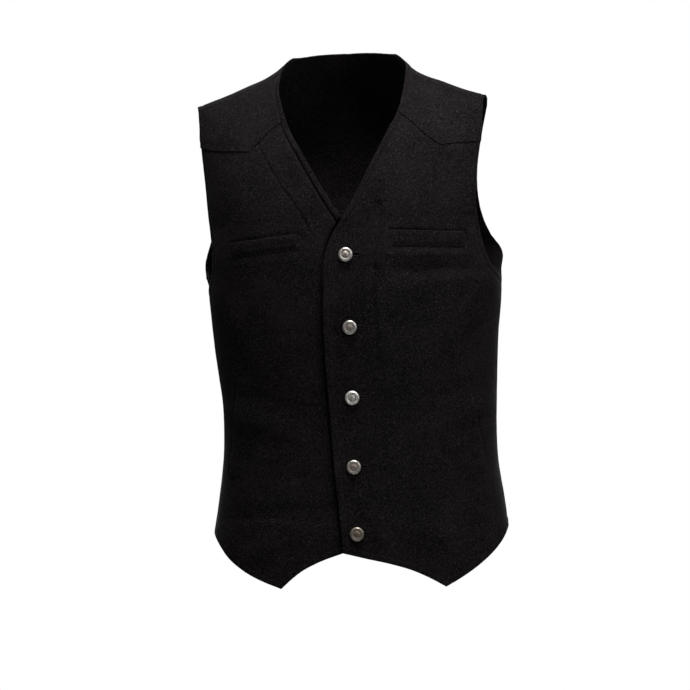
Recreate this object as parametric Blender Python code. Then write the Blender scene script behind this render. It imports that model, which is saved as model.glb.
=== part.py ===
"""A man's western vest in charcoal wool, hollow, in the shape that it keeps when worn and buttoned.

Sizes are in millimetres, and each mesh is scaled to metres as it is made. +X is the wearer's left,
-Y the front and +Z up. The origin is the middle of the neck hole, level with the high points of the
shoulders. Every panel lies on one body surface, which has two coordinates: u, the angle round the
body from the middle of the front, and v, the height, which runs on over the shoulder above the
level where the armholes begin.
"""

import math
from typing import NamedTuple

import bmesh
import bpy
import numpy as np
from mathutils import Matrix, Vector

MM = 0.001

# Cloth, seams and layers
WALL = 2.2
SEAM_GAP = 0.3
LAYER_GAP = 0.5
YOKE_LAP = 8.0
YOKE_FLAT = 11.0
YOKE_EASE = 20.0
WELT_THICKNESS = 1.8
LAYER = WALL + LAYER_GAP

# The body surface
ARMHOLE_LEVEL = -200.0
UPPER_RUN = 250.0
SHOULDER_HALF = 203.0
RING_POWER = 2.3
FRONT_POWER = 1.6
BACK_POWER = 2.0
SIDE_SEAM_ANGLE = 0.0004
SHOULDER_SEAM_DROP = 8.0

# Where the overlapping front comes down from the other front onto the body
LAP_FULL_X = 36.0
LAP_END_X = 68.0

# How the panels are divided: rows below and above the armpit, columns each side of the hem's point
FRONT_ROWS = (20, 9)
FRONT_COLUMNS = (9, 9)
YOKE_COLUMNS = (6, 7)
YOKE_ROWS = (0, 0.09, 0.18, 0.3, 0.43, 0.6, 0.8, 1)
BACK_ROWS = (11, 13)
BACK_ROWS_CROWD = 1.5
SHOULDER_COLUMNS = 7
NECK_COLUMNS = 10
LINE_SAMPLES = 60

# Folds fade out towards the side seams, below this cosine of the angle
SIDE_FADE = 0.4

# Buttons and buttonholes: the buttons' places in the front view, a little off one line
BUTTON_PLACES = ((-0.4, -244.8), (1.3, -334.0), (0.7, -421.0), (-0.7, -507.0), (0.2, -590.0))
BUTTON_SIDES = 18
SHANK_RADIUS = 1.6
EYE_RADIUS = 2.2
SLIT_HALF_WIDTH = 0.6
SLIT_LENGTH = 17.5
EYE_SIDES = 10

WOOL = ((0.012, 0.011, 0.012), 0.95, 0.0)
NICKEL = ((0.34, 0.32, 0.29), 0.38, 0.9)


class Section(NamedTuple):
    """One level of the body: its height, middle, half width and depths in front and behind."""

    z: float
    centre: float
    half: float
    front: float
    back: float


SECTIONS = (
    Section(-200, 2.0, 185.5, 117.0, 116.0),
    Section(-240, 2.5, 186.0, 121.0, 113.0),
    Section(-285, 3.0, 185.0, 122.0, 110.0),
    Section(-350, 2.0, 179.5, 119.0, 103.0),
    Section(-430, 3.5, 173.0, 113.0, 97.0),
    Section(-500, 1.5, 173.5, 111.5, 99.0),
    Section(-560, 0.0, 181.5, 112.5, 104.0),
    Section(-592, -1.0, 186.5, 114.0, 107.0),
    Section(-665, -1.0, 198.0, 116.0, 111.0),
)

# The back stands wider than the fronts beside the armholes, and meets them at the side seams
BACK_FLARE = 16.0
FLARE_FULL = -232.0
FLARE_END = -275.0

# Height of the shoulders' top line at a distance from the middle; the wearer's left one hangs lower
RIDGE = (
    (0, 58), (40, 36), (60, 18), (79, 1), (100, -12), (125, -22), (150, -32), (180, -42), (205, -50),
)
LEFT_DROP = 4.5
DROP_START_X = 72.0
DROP_RUN = 22.0


class Fold(NamedTuple):
    """A soft fold: its middle in the front or back view, tilt, half length, half width and height."""

    x: float
    z: float
    tilt_deg: float
    length: float
    width: float
    height: float
    behind: bool = False


FOLDS = (
    Fold(146, -318, 68, 55, 13, 1.8),
    Fold(-140, -330, -62, 62, 14, 2.2),
    Fold(128, -452, 24, 52, 13, 1.6),
    Fold(-126, -446, -20, 60, 14, 1.8),
    Fold(100, -266, 3, 52, 11, -1.6),
    Fold(-84, -562, 2, 78, 10, -1.6),
    Fold(104, -598, -14, 50, 16, 2.0),
    Fold(-118, -606, 18, 46, 15, 1.6),
    Fold(-148, -150, 84, 44, 13, 1.6),
    Fold(40, -262, 88, 60, 9, -1.2),
    Fold(-88, -176, 58, 48, 14, 2.4, True),
    Fold(96, -188, -54, 52, 15, 2.2, True),
    Fold(-16, -412, 4, 70, 12, -2.4, True),
    Fold(62, -446, 12, 64, 13, 2.2, True),
    Fold(-70, -470, -9, 60, 13, 2.0, True),
    Fold(18, -560, 82, 60, 18, 2.2, True),
)


class FrontCut(NamedTuple):
    """The cut edges of one front, in the front view, with x counted outwards on its own side."""

    side: int
    front_edge: tuple
    neckline: tuple
    armhole: tuple
    hem_inner: tuple
    hem_outer: tuple
    armpit: float
    yoke_inner: tuple
    yoke_outer: tuple


LEFT = FrontCut(
    side=1,
    front_edge=(
        (-17.6, -613), (-20, -572), (-24, -520), (-27.3, -448), (-30.2, -385), (-31, -335),
        (-29.5, -290), (-25, -244), (-16, -220), (-2.5, -198),
    ),
    neckline=(
        (-2.5, -198), (15.2, -168), (37.5, -125), (57, -88), (68.5, -65), (74.5, -44), (79.5, -5),
    ),
    armhole=(
        (175, -56), (170.6, -98), (164.5, -135), (161.4, -173), (163, -210), (167.5, -236),
        (176, -260), (186, -272),
    ),
    hem_inner=((-17.6, -613), (9.8, -620.5), (39, -628), (68, -638), (88, -648), (107, -659.5)),
    hem_outer=((107, -659.5), (127, -649), (147, -636.5), (167, -620), (178.5, -607), (187.5, -589)),
    armpit=-277.0,
    yoke_inner=((69, -68), (84, -81), (104, -100), (119, -111.5)),
    yoke_outer=((119, -111.5), (143, -109), (168, -107.5)),
)

RIGHT = FrontCut(
    side=-1,
    front_edge=(
        (-18, -603), (-21, -560), (-24, -520), (-27.3, -448), (-30, -385), (-31, -335),
        (-29.5, -290), (-24, -250), (-14, -226), (-3, -211),
    ),
    neckline=(
        (-3, -211), (7.9, -193), (20, -173), (49.5, -118), (69, -79), (75.5, -57), (81, -32), (79, -5),
    ),
    armhole=(
        (188, -52), (183, -99), (178.2, -152), (174, -203), (171.6, -240), (174.5, -264),
        (182, -280),
    ),
    hem_inner=((-18, -603), (17.6, -613), (50, -624), (71, -634.5), (85, -645), (97, -655.5)),
    hem_outer=((97, -655.5), (122, -645.5), (142.5, -635), (164, -618), (176, -603.5), (188.5, -586)),
    armpit=-286.0,
    yoke_inner=((72, -72), (87.5, -82), (104, -97.5), (119, -110.5)),
    yoke_outer=((119, -110.5), (145, -108), (170, -103.5), (183, -99)),
)

# The back's armholes from the shoulder down, its neckline from the wearer's left, and its hem
BACK_ARMHOLE_LEFT = (
    (181, -52), (170, -95), (163, -140), (165, -182), (177, -218), (191.5, -243), (188.5, -264),
)
BACK_ARMHOLE_RIGHT = (
    (190, -47), (181, -98), (176, -148), (179, -195), (187, -225), (190.5, -245), (185.5, -266),
)
BACK_NECKLINE = ((79, 1), (72, 9), (50, 17), (25, 21), (0, 22), (-25, 21), (-50, 17), (-72, 9), (-79, 1))
BACK_HEM_DIP = 10.0
SIDE_HEM_LEFT = -589.0
SIDE_HEM_RIGHT = -586.0


class Welt(NamedTuple):
    """A pocket welt's four corners in the front view, in order round it, x counted outwards."""

    name: str
    side: int
    corners: tuple
    columns: int
    rows: int


WELTS = (
    Welt("chest_welt_left", 1, ((55, -235), (144.5, -239), (145.5, -221), (54, -216)), 8, 2),
    Welt("chest_welt_right", -1, ((58, -235.5), (144, -242), (147, -223.5), (57, -217.5)), 8, 2),
    Welt("pocket_welt_left", 1, ((144, -521), (160, -519), (140, -388), (123, -390)), 2, 11),
    Welt("pocket_welt_right", -1, ((144, -519), (160, -517), (142, -390), (125, -392)), 2, 11),
)

# A button's turned outline from the top of its dome to its back: distance out and height
BUTTON_OUTLINE = (
    (1.9, 4.1), (3.4, 3.6), (4.2, 3.1), (5.0, 3.1), (6.4, 3.7), (7.9, 3.1), (9.0, 1.6), (8.7, 0.5),
    (7.8, 0.0),
)
DOME_HEIGHT = 4.2


class Spline:
    """A smooth curve through given values, read at any place between the first and the last."""

    def __init__(self, at, values):
        self.at = np.asarray(at, float)
        self.values = np.asarray(values, float)
        self.slopes = np.gradient(self.values, self.at, axis=0)

    def __call__(self, wanted):
        wanted = np.clip(wanted, self.at[0], self.at[-1])
        i = np.clip(np.searchsorted(self.at, wanted, "right") - 1, 0, len(self.at) - 2)
        span = self.at[i + 1] - self.at[i]
        t = (wanted - self.at[i]) / span
        if self.values.ndim > 1:
            span, t = span[..., None], t[..., None]
        start = (2 * t**3 - 3 * t**2 + 1) * self.values[i] + (t**3 - 2 * t**2 + t) * span * self.slopes[i]
        end = (3 * t**2 - 2 * t**3) * self.values[i + 1] + (t**3 - t**2) * span * self.slopes[i + 1]
        return start + end


BODY = Spline([-row.z for row in SECTIONS], [row[1:] for row in SECTIONS])
RIDGE_LINE = Spline([row[0] for row in RIDGE], [row[1] for row in RIDGE])


def smooth_step(value):
    """0 below 0, 1 above 1, and an even ease between."""
    t = np.clip(value, 0, 1)
    return t * t * (3 - 2 * t)


def ridge(x):
    """Height of the shoulders' top line."""
    return RIDGE_LINE(np.abs(x)) - LEFT_DROP * smooth_step((x - DROP_START_X) / DROP_RUN)


def back_flare(level):
    """How much wider the back stands than the fronts at a level."""
    return BACK_FLARE * smooth_step((level - FLARE_END) / (FLARE_FULL - FLARE_END))


def torso(u, v):
    """Points of the body surface at angle u and height v."""
    u, v = np.broadcast_arrays(np.asarray(u, float), np.asarray(v, float))
    q = np.clip((v - ARMHOLE_LEVEL) / UPPER_RUN, 0, 2)
    u = np.where(q > 1, math.pi - u, u)
    q = np.where(q > 1, 2 - q, q)
    level = np.minimum(v, ARMHOLE_LEVEL)
    centre, half, front, back = np.moveaxis(BODY(-level), -1, 0)
    behind = np.cos(u) < 0
    half = half + np.where(behind, back_flare(level), 0)
    half = half + (SHOULDER_HALF - half) * q
    power = np.where(behind, BACK_POWER, FRONT_POWER)
    rise = 1 - (1 - q) ** power
    x = centre + half * np.sin(u)
    z = level + rise * (ridge(x) - ARMHOLE_LEVEL)
    round_off = (1 - np.abs(np.sin(u)) ** RING_POWER) ** (1 / RING_POWER)
    y = np.where(behind, back, -front) * round_off * (1 - rise**power) ** (1 / power)
    return np.stack([x, y, z], -1)


def outward(u, v):
    """The body surface's unit normals."""
    du, dv = 1e-3, 0.5
    across = torso(u + du, v) - torso(u - du, v)
    up = torso(u, v + dv) - torso(u, v - dv)
    normal = np.cross(across, up)
    return normal / np.linalg.norm(normal, axis=-1, keepdims=True)


def fold_height(points, behind):
    """How far the folds lift the cloth at these points."""
    height = np.zeros(points.shape[:-1])
    for fold in FOLDS:
        dx, dz = points[..., 0] - fold.x, points[..., 2] - fold.z
        tilt = math.radians(fold.tilt_deg)
        along = (dx * math.cos(tilt) + dz * math.sin(tilt)) / fold.length
        across = (dz * math.cos(tilt) - dx * math.sin(tilt)) / fold.width
        lift = fold.height * np.exp(-along**2 - across**2)
        height += np.where(behind == fold.behind, lift, 0)
    return height


def cloth_points(grid, offset):
    """World points, in millimetres, at a distance outside the body surface."""
    u, v = grid[..., 0], grid[..., 1]
    points = torso(u, v)
    side_fade = smooth_step(np.abs(np.cos(u)) / SIDE_FADE)
    lift = fold_height(points, np.cos(u) < 0) * side_fade
    return points + outward(u, v) * (lift + offset)[..., None]


def place(x, z, behind=False):
    """Surface coordinates of what the front view, or the back view, shows at x and z."""
    level = np.minimum(z, ARMHOLE_LEVEL)
    power = BACK_POWER if behind else FRONT_POWER
    rise = np.clip((z - ARMHOLE_LEVEL) / (ridge(x) - ARMHOLE_LEVEL), 0, 1)
    q = 1 - (1 - rise) ** (1 / power)
    centre, half = np.moveaxis(BODY(-level)[..., :2], -1, 0)
    half = half + (back_flare(level) if behind else 0)
    half = half + (SHOULDER_HALF - half) * q
    u = np.arcsin(np.clip((x - centre) / half, -1, 1))
    if behind:
        u = math.pi - u
    v = np.where(z > ARMHOLE_LEVEL, ARMHOLE_LEVEL + UPPER_RUN * q, z)
    return np.stack([u, v], -1)


def over_shoulder(line):
    """Coordinates, as the back counts them, of a line on the front of the shoulder."""
    u = math.pi - line[..., 0]
    v = 2 * (ARMHOLE_LEVEL + UPPER_RUN) - line[..., 1]
    return np.stack([u, v], -1)


def drawn(rows, side=1, steps=8):
    """A smooth line in the front view through a table's rows, as dense x and z points."""
    points = np.array(rows, float) * (side, 1)
    at = np.concatenate([[0], np.cumsum(np.linalg.norm(np.diff(points, axis=0), axis=1))])
    wanted = np.concatenate(
        [np.linspace(a, b, steps, endpoint=False) for a, b in zip(at[:-1], at[1:])] + [at[-1:]]
    )
    return Spline(at, points)(wanted)


def cut_at(line, low, high):
    """The stretch of a drawn line between two heights."""
    order = np.argsort(line[:, 1])
    heights = line[order, 1]
    ends = [(np.interp(z, heights, line[order, 0]), z) for z in (low, high)]
    inner = line[(line[:, 1] > low) & (line[:, 1] < high)]
    inner = inner[np.argsort(inner[:, 1])]
    return np.vstack([ends[0], inner, ends[1]])


def on_body(line, behind=False):
    """A drawn line as surface coordinates."""
    return place(line[:, 0], line[:, 1], behind)


def run_of(line):
    """The distance run on the body at each point of a line of surface coordinates."""
    points = torso(line[:, 0], line[:, 1])
    return np.concatenate([[0], np.cumsum(np.linalg.norm(np.diff(points, axis=0), axis=1))])


def divided(line, parts):
    """A line of surface coordinates cut into parts: a number of equal ones, or given fractions."""
    fractions = np.linspace(0, 1, parts + 1) if isinstance(parts, int) else np.asarray(parts)
    along = run_of(line)
    wanted = fractions * along[-1]
    return np.stack([np.interp(wanted, along, line[:, k]) for k in (0, 1)], -1)


def chained(*lines):
    """Divided lines joined end to end."""
    return np.vstack([lines[0]] + [line[1:] for line in lines[1:]])


def patch(bottom, top, first, last):
    """A grid of surface coordinates filled in from a piece's four edges."""
    s = sum(run_of(line) / run_of(line)[-1] for line in (bottom, top))[None, :, None] / 2
    t = sum(run_of(line) / run_of(line)[-1] for line in (first, last))[:, None, None] / 2
    along = (1 - t) * bottom[None] + t * top[None]
    across = (1 - s) * first[:, None] + s * last[:, None]
    low = (1 - s) * bottom[0] + s * bottom[-1]
    high = (1 - s) * top[0] + s * top[-1]
    grid = along + across - ((1 - t) * low + t * high)
    return grid if grid[0, -1, 0] > grid[0, 0, 0] else grid[:, ::-1]


def material(name, look):
    """A plain Principled material from a colour, a roughness and a metallic value."""
    colour, roughness, metallic = look
    made = bpy.data.materials.new(name)
    made.use_nodes = True
    shader = made.node_tree.nodes["Principled BSDF"]
    shader.inputs["Base Color"].default_value = (*colour, 1.0)
    shader.inputs["Roughness"].default_value = roughness
    shader.inputs["Metallic"].default_value = metallic
    return made


def new_object(name, mesh, parent):
    """An object for a mesh, under the vest's origin."""
    made = bpy.data.objects.new(name, mesh)
    bpy.context.collection.objects.link(made)
    made.parent = parent
    return made


def wall(name, grid, offset, thickness, parent):
    """A closed wall of cloth over a grid, from its inner face at an offset outwards."""
    rows, columns = grid.shape[:2]
    inner = cloth_points(grid, offset + np.zeros((rows, columns)))
    outer = inner + outward(grid[..., 0], grid[..., 1]) * thickness
    mesh = bpy.data.meshes.new(name)
    shape = bmesh.new()
    layers = [
        [[shape.verts.new(Vector(point) * MM) for point in row] for row in layer]
        for layer in (inner, outer)
    ]
    for j in range(rows - 1):
        for i in range(columns - 1):
            corners = ((j, i), (j, i + 1), (j + 1, i + 1), (j + 1, i))
            shape.faces.new([layers[1][a][b] for a, b in corners])
            shape.faces.new([layers[0][a][b] for a, b in reversed(corners)])
    around = [(0, i) for i in range(columns - 1)] + [(j, columns - 1) for j in range(rows - 1)]
    around += [(rows - 1, i) for i in range(columns - 1, 0, -1)]
    around += [(j, 0) for j in range(rows - 1, 0, -1)]
    for (a, b), (c, d) in zip(around, around[1:] + around[:1]):
        shape.faces.new([layers[0][a][b], layers[0][c][d], layers[1][c][d], layers[1][a][b]])
    shape.to_mesh(mesh)
    shape.free()
    mesh.shade_smooth()
    mesh.set_sharp_from_angle(angle=math.radians(50))
    mesh.materials.append(material(f"{name}_wool", WOOL))
    return new_object(name, mesh, parent)


def lap_rise(grid):
    """How far the overlapping front stands off the body where it lies on the other front."""
    x = torso(grid[..., 0], grid[..., 1])[..., 0]
    return LAYER * (1 - smooth_step((x - LAP_FULL_X) / (LAP_END_X - LAP_FULL_X)))


def side_seam(cut, low, high, behind=False):
    """The side seam as surface coordinates, a hair to the front or the back of the side."""
    turn = math.pi / 2 + (SIDE_SEAM_ANGLE if behind else -SIDE_SEAM_ANGLE)
    angle = turn if cut.side > 0 else (2 * math.pi - turn if behind else -turn)
    v = np.linspace(low, high, LINE_SAMPLES)
    return np.stack([np.full_like(v, angle), v], -1)


def front_grid(cut):
    """Surface coordinates over one front, from hem to just under the yoke."""
    neckline = drawn(cut.neckline, cut.side)
    armhole = drawn(cut.armhole, cut.side)
    lap_inner = drawn(cut.yoke_inner, cut.side) + (0, YOKE_LAP)
    lap_outer = drawn(cut.yoke_outer, cut.side) + (0, YOKE_LAP)
    neck = cut_at(neckline, cut.neckline[0][1], lap_inner[0, 1])
    arm = cut_at(armhole, cut.armhole[-1][1], lap_outer[-1, 1])
    lap_inner[0] = neck[-1]
    lap_outer[-1] = arm[-1]
    seam = side_seam(cut, cut.hem_outer[-1][1], cut.armpit)
    arm_line = np.vstack([seam[-1:], on_body(arm)])
    below, above = FRONT_ROWS
    front_edge = on_body(drawn(cut.front_edge, cut.side))
    first = chained(divided(front_edge, below), divided(on_body(neck), above))
    last = chained(divided(seam, below), divided(arm_line, above))
    hem_outer = on_body(drawn(cut.hem_outer, cut.side))
    hem_outer[-1] = seam[0]
    near, far = FRONT_COLUMNS
    hem_inner = on_body(drawn(cut.hem_inner, cut.side))
    bottom = chained(divided(hem_inner, near), divided(hem_outer, far))
    top = chained(divided(on_body(lap_inner), near), divided(on_body(lap_outer), far))
    return patch(bottom, top, first, last)


def seam_line(cut):
    """The shoulder seam in the front view, from the neckline to the armhole."""
    inner, outer = cut.neckline[-1][0], cut.armhole[0][0]
    x = np.linspace(inner, outer, LINE_SAMPLES) * cut.side
    return np.stack([x, ridge(x) - SHOULDER_SEAM_DROP], -1)


def yoke_grid(cut):
    """Surface coordinates over one yoke, from its pointed lower edge to the shoulder seam."""
    seam = seam_line(cut)
    low_inner = drawn(cut.yoke_inner, cut.side)
    low_outer = drawn(cut.yoke_outer, cut.side)
    neck = cut_at(drawn(cut.neckline, cut.side), low_inner[0, 1], seam[0, 1])
    arm = cut_at(drawn(cut.armhole, cut.side), low_outer[-1, 1], seam[-1, 1])
    low_inner[0] = neck[0]
    low_outer[-1] = arm[0]
    seam[0], seam[-1] = neck[-1], arm[-1]
    first = divided(on_body(neck), YOKE_ROWS)
    last = divided(on_body(arm), YOKE_ROWS)
    near, far = YOKE_COLUMNS
    bottom = chained(divided(on_body(low_inner), near), divided(on_body(low_outer), far))
    top = divided(on_body(seam), near + far)
    top[0], top[-1] = first[-1], last[-1]
    return patch(bottom, top, first, last)


def yoke_rise(grid):
    """How far a yoke stands off the body: clear of the front under its edge, easing down above."""
    points = torso(grid[..., 0], grid[..., 1])
    steps = np.linalg.norm(np.diff(points, axis=0), axis=-1)
    above = np.vstack([np.zeros(steps.shape[1]), np.cumsum(steps, axis=0)])
    return LAYER * (1 - smooth_step((above - YOKE_FLAT) / YOKE_EASE))


def back_grid():
    """Surface coordinates over the back, side seam to side seam and over both shoulders."""
    below, above = BACK_ROWS
    crowded = 1 - (1 - np.linspace(0, 1, above + 1)) ** BACK_ROWS_CROWD
    seams = {cut.side: over_shoulder(on_body(seam_line(cut))) for cut in (LEFT, RIGHT)}
    for seam in seams.values():
        seam[:, 1] -= 2 * SEAM_GAP
    neckline = on_body(drawn(BACK_NECKLINE), True)
    neckline[0], neckline[-1] = seams[1][0], seams[-1][0]
    top = chained(
        divided(seams[1][::-1], SHOULDER_COLUMNS),
        divided(neckline, NECK_COLUMNS),
        divided(seams[-1], SHOULDER_COLUMNS),
    )
    edges = []
    for cut, armhole, hem, seam in (
        (LEFT, BACK_ARMHOLE_LEFT, SIDE_HEM_LEFT, seams[1]),
        (RIGHT, BACK_ARMHOLE_RIGHT, SIDE_HEM_RIGHT, seams[-1]),
    ):
        side = side_seam(cut, hem, cut.armpit, True)
        hole = on_body(drawn(armhole[::-1], cut.side), True)
        hole = np.vstack([side[-1:], hole, seam[-1:]])
        edges.append(chained(divided(side, below), divided(hole, crowded)))
    angle = np.linspace(edges[0][0, 0], edges[1][0, 0], LINE_SAMPLES)
    dip = BACK_HEM_DIP * np.sin(angle - math.pi / 2) ** 2
    level = np.linspace(SIDE_HEM_LEFT, SIDE_HEM_RIGHT, LINE_SAMPLES) - dip
    bottom = divided(np.stack([angle, level], -1), len(top) - 1)
    return patch(bottom, top, *edges)


def welt_grid(welt):
    """Surface coordinates over a pocket welt, straight between its corners in the front view."""
    low_in, low_out, high_out, high_in = (np.array(corner) * (welt.side, 1) for corner in welt.corners)
    s = np.linspace(0, 1, welt.columns + 1)[None, :, None]
    t = np.linspace(0, 1, welt.rows + 1)[:, None, None]
    points = (1 - t) * ((1 - s) * low_in + s * low_out) + t * ((1 - s) * high_in + s * high_out)
    grid = place(points[..., 0], points[..., 1])
    return grid if grid[0, -1, 0] > grid[0, 0, 0] else grid[:, ::-1]


def button_frame(x, z, offset):
    """The frame of a button in its place: its origin on the cloth, its z axis pointing out."""
    grid = place(np.array(x), np.array(z))
    origin = cloth_points(grid, np.array(offset))
    normal = Vector(outward(grid[0], grid[1]))
    across = Vector((1, 0, 0))
    across = (across - normal * across.dot(normal)).normalized()
    frame = Matrix((across, normal.cross(across), normal)).transposed().to_4x4()
    frame.translation = Vector(origin) * MM
    return frame


def button_mesh():
    """A domed button with a raised rim and its shank, turned about z from its seat at z = 0."""
    shank = -(WALL + SEAM_GAP)
    outline = BUTTON_OUTLINE + ((SHANK_RADIUS, 0.0), (SHANK_RADIUS, shank))
    shape = bmesh.new()
    rings = []
    for radius, height in outline:
        turns = (2 * math.pi * k / BUTTON_SIDES for k in range(BUTTON_SIDES))
        places = (Vector((radius * math.cos(a), radius * math.sin(a), height)) for a in turns)
        rings.append([shape.verts.new(place_on_ring * MM) for place_on_ring in places])
    top = shape.verts.new((0, 0, DOME_HEIGHT * MM))
    end = shape.verts.new((0, 0, shank * MM))
    for k in range(BUTTON_SIDES):
        following = (k + 1) % BUTTON_SIDES
        shape.faces.new([top, rings[0][k], rings[0][following]])
        for upper, lower in zip(rings, rings[1:]):
            shape.faces.new([upper[k], lower[k], lower[following], upper[following]])
        shape.faces.new([end, rings[-1][following], rings[-1][k]])
    mesh = bpy.data.meshes.new("button")
    shape.to_mesh(mesh)
    shape.free()
    mesh.shade_smooth()
    mesh.set_sharp_from_angle(angle=math.radians(60))
    mesh.materials.append(material("button_nickel", NICKEL))
    return mesh


def buttonhole_outline():
    """A keyhole: the eye round the shank and the slit that runs from it towards +x."""
    start = math.asin(SLIT_HALF_WIDTH / EYE_RADIUS)
    turns = np.linspace(start, 2 * math.pi - start, EYE_SIDES)
    eye = [(EYE_RADIUS * math.cos(a), EYE_RADIUS * math.sin(a)) for a in turns]
    return eye + [(SLIT_LENGTH, -SLIT_HALF_WIDTH), (SLIT_LENGTH, SLIT_HALF_WIDTH)]


def buttonhole_cutter(frames, parent):
    """One guide object that holds the prisms which cut all the buttonholes."""
    shape = bmesh.new()
    outline = buttonhole_outline()
    reach = 2 * WALL
    for frame in frames:
        low = [shape.verts.new(frame @ (Vector((x, y, -reach)) * MM)) for x, y in outline]
        high = [shape.verts.new(frame @ (Vector((x, y, reach)) * MM)) for x, y in outline]
        shape.faces.new(low[::-1])
        shape.faces.new(high)
        for k in range(len(outline)):
            following = (k + 1) % len(outline)
            shape.faces.new([low[k], low[following], high[following], high[k]])
    mesh = bpy.data.meshes.new("buttonhole_cutter")
    shape.to_mesh(mesh)
    shape.free()
    cutter = new_object("buttonhole_cutter", mesh, parent)
    cutter.hide_render = True
    cutter.display_type = "WIRE"
    return cutter


def build():
    """Makes the whole vest."""
    for item in list(bpy.data.objects):
        bpy.data.objects.remove(item, do_unlink=True)
    origin = bpy.data.objects.new("vest_origin", None)
    bpy.context.collection.objects.link(origin)

    wall("front_right", front_grid(RIGHT), 0.0, WALL, origin)
    left = front_grid(LEFT)
    front_left = wall("front_left", left, lap_rise(left), WALL, origin)
    for name, cut in (("yoke_left", LEFT), ("yoke_right", RIGHT)):
        grid = yoke_grid(cut)
        wall(name, grid, yoke_rise(grid), WALL, origin)
    wall("back", back_grid(), 0.0, WALL, origin)
    for welt in WELTS:
        grid = welt_grid(welt)
        rise = lap_rise(grid) if welt.side > 0 else 0.0
        wall(welt.name, grid, rise + LAYER, WELT_THICKNESS, origin)

    seat = LAYER + WALL + SEAM_GAP
    frames = [button_frame(x, z, seat) for x, z in BUTTON_PLACES]
    mesh = button_mesh()
    for number, frame in enumerate(frames, 1):
        button = new_object(f"button_{number}", mesh, origin)
        button.matrix_local = frame
    holes = front_left.modifiers.new("buttonholes", "BOOLEAN")
    holes.operation = "DIFFERENCE"
    holes.object = buttonhole_cutter(frames, origin)


build()
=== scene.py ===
"""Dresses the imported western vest: charcoal melton panels, sewing, domed buttons and a pale studio.

Sizes in the tables are millimetres, and meshes are scaled to metres as they are made. +X is the
wearer's left, -Y the front and +Z up. Every panel lies on one body surface with two coordinates:
u, the angle round the body from the middle of the front, and v, the height, which runs on over the
shoulder above the level where the armholes begin.
"""

import logging
import math
from dataclasses import dataclass, field
from enum import Enum
from typing import Any, NamedTuple, Sequence

import bpy
import numpy as np
from mathutils import Matrix, Vector, noise


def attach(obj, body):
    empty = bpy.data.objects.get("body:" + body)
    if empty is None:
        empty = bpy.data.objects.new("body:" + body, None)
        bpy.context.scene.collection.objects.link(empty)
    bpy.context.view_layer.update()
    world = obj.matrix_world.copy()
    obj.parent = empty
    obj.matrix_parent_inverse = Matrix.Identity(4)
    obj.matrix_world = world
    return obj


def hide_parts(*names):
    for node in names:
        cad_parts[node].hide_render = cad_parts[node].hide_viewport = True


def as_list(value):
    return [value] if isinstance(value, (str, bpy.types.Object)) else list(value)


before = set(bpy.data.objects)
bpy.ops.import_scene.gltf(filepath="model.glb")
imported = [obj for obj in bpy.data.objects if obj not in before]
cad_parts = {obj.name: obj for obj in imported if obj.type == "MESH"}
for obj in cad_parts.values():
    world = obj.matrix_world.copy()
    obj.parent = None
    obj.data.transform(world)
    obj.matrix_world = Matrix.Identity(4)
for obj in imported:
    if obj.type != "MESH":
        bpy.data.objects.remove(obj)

Array = np.ndarray
Colour = tuple[float, float, float]
Span = tuple[float, float]
Rows = tuple[tuple[float, float], ...]

MM = 0.001
log = logging.getLogger("vest")

# Cloth and its layers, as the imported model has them
WALL = 2.2
SEAM_GAP = 0.3
LAYER = 2.7
YOKE_LAP = 8.0
YOKE_FLAT = 11.0
YOKE_EASE = 20.0
LAP_FULL_X = 36.0
LAP_END_X = 68.0

# The body surface
ARMHOLE_LEVEL = -200.0
UPPER_RUN = 250.0
SHOULDER_HALF = 203.0
RING_POWER = 2.3
FRONT_POWER = 1.6
BACK_POWER = 2.0
SIDE_SEAM_ANGLE = 0.00004
SHOULDER_SEAM_DROP = 8.0
SHOULDER_SEAM_GAP = 0.06
BACK_FLARE = 16.0
FLARE_FULL = -232.0
FLARE_END = -275.0
LEFT_DROP = 4.5
DROP_START_X = 72.0
DROP_RUN = 22.0
SIDE_FADE = 0.4

# Sewing: the stitches' distance from an edge, their pitch, where the first starts, how much of its
# pitch a stitch fills, and how much nearer than its own row it may come to another edge
EDGE_INSET = 8.0
YOKE_INSET = 6.5
STITCH_PITCH = 3.3
STITCH_START = 0.5
STITCH_FILL = 0.74
CORNER_SLACK = 0.8

# How deep the topstitching sinks along each kind of edge
HEM_DEPTH = 0.3
FRONT_EDGE_DEPTH = 0.4
ARMHOLE_DEPTH = 0.45
YOKE_ARMHOLE_DEPTH = 0.35
YOKE_EDGE_DEPTH = 0.2
YOKE_NECK_SHARE = 0.6
BACK_EDGE_DEPTH = 0.8

# How many points lines have: whole seams, and each stretch of a drawn line or of a pressed mark
LINE_SAMPLES = 60
DRAWN_STEPS = 8
MARK_STEPS = 4
WELT_SAMPLES = 24

# Distances from an edge, close together where the cloth turns over and where the stitching sinks
EDGE_STEPS = (0, 0.15, 0.5, 1.1, 2.0, 3.2, 4.4, 5.5, 6.4, 7.2, 8.0, 8.8, 9.7, 11.0, 13.0)
EDGE_SHARE = 0.42
CORNER_CLEAR = 2.0
FEWEST_CELLS = 4
DENSE_PART = 24
TYPICAL_RADIUS = 150.0
RELAX_SHARE = 0.7

# The soft hand of the cloth: the height of its slow waves and of its pucker, and their cells in 1 mm
WAVE_HEIGHT = 0.55
WAVE_CELLS = 0.024
PUCKER_HEIGHT = 0.16
PUCKER_CELLS = 0.085
PUCKER_PLACE = (7.3, 1.9, 4.1)

# The buttons' places in the front view, a little off one line, and how bright each one is worn
BUTTON_PLACES = ((-0.4, -244.8), (1.3, -334.0), (0.7, -421.0), (-0.7, -507.0), (0.2, -590.0))
BUTTON_WEAR = (0.74, 0.64, 1.55, 0.48, 0.02)


class Side(Enum):
    """The wearer's side that a piece belongs to, as the sign of its x."""

    LEFT = 1
    RIGHT = -1


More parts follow.
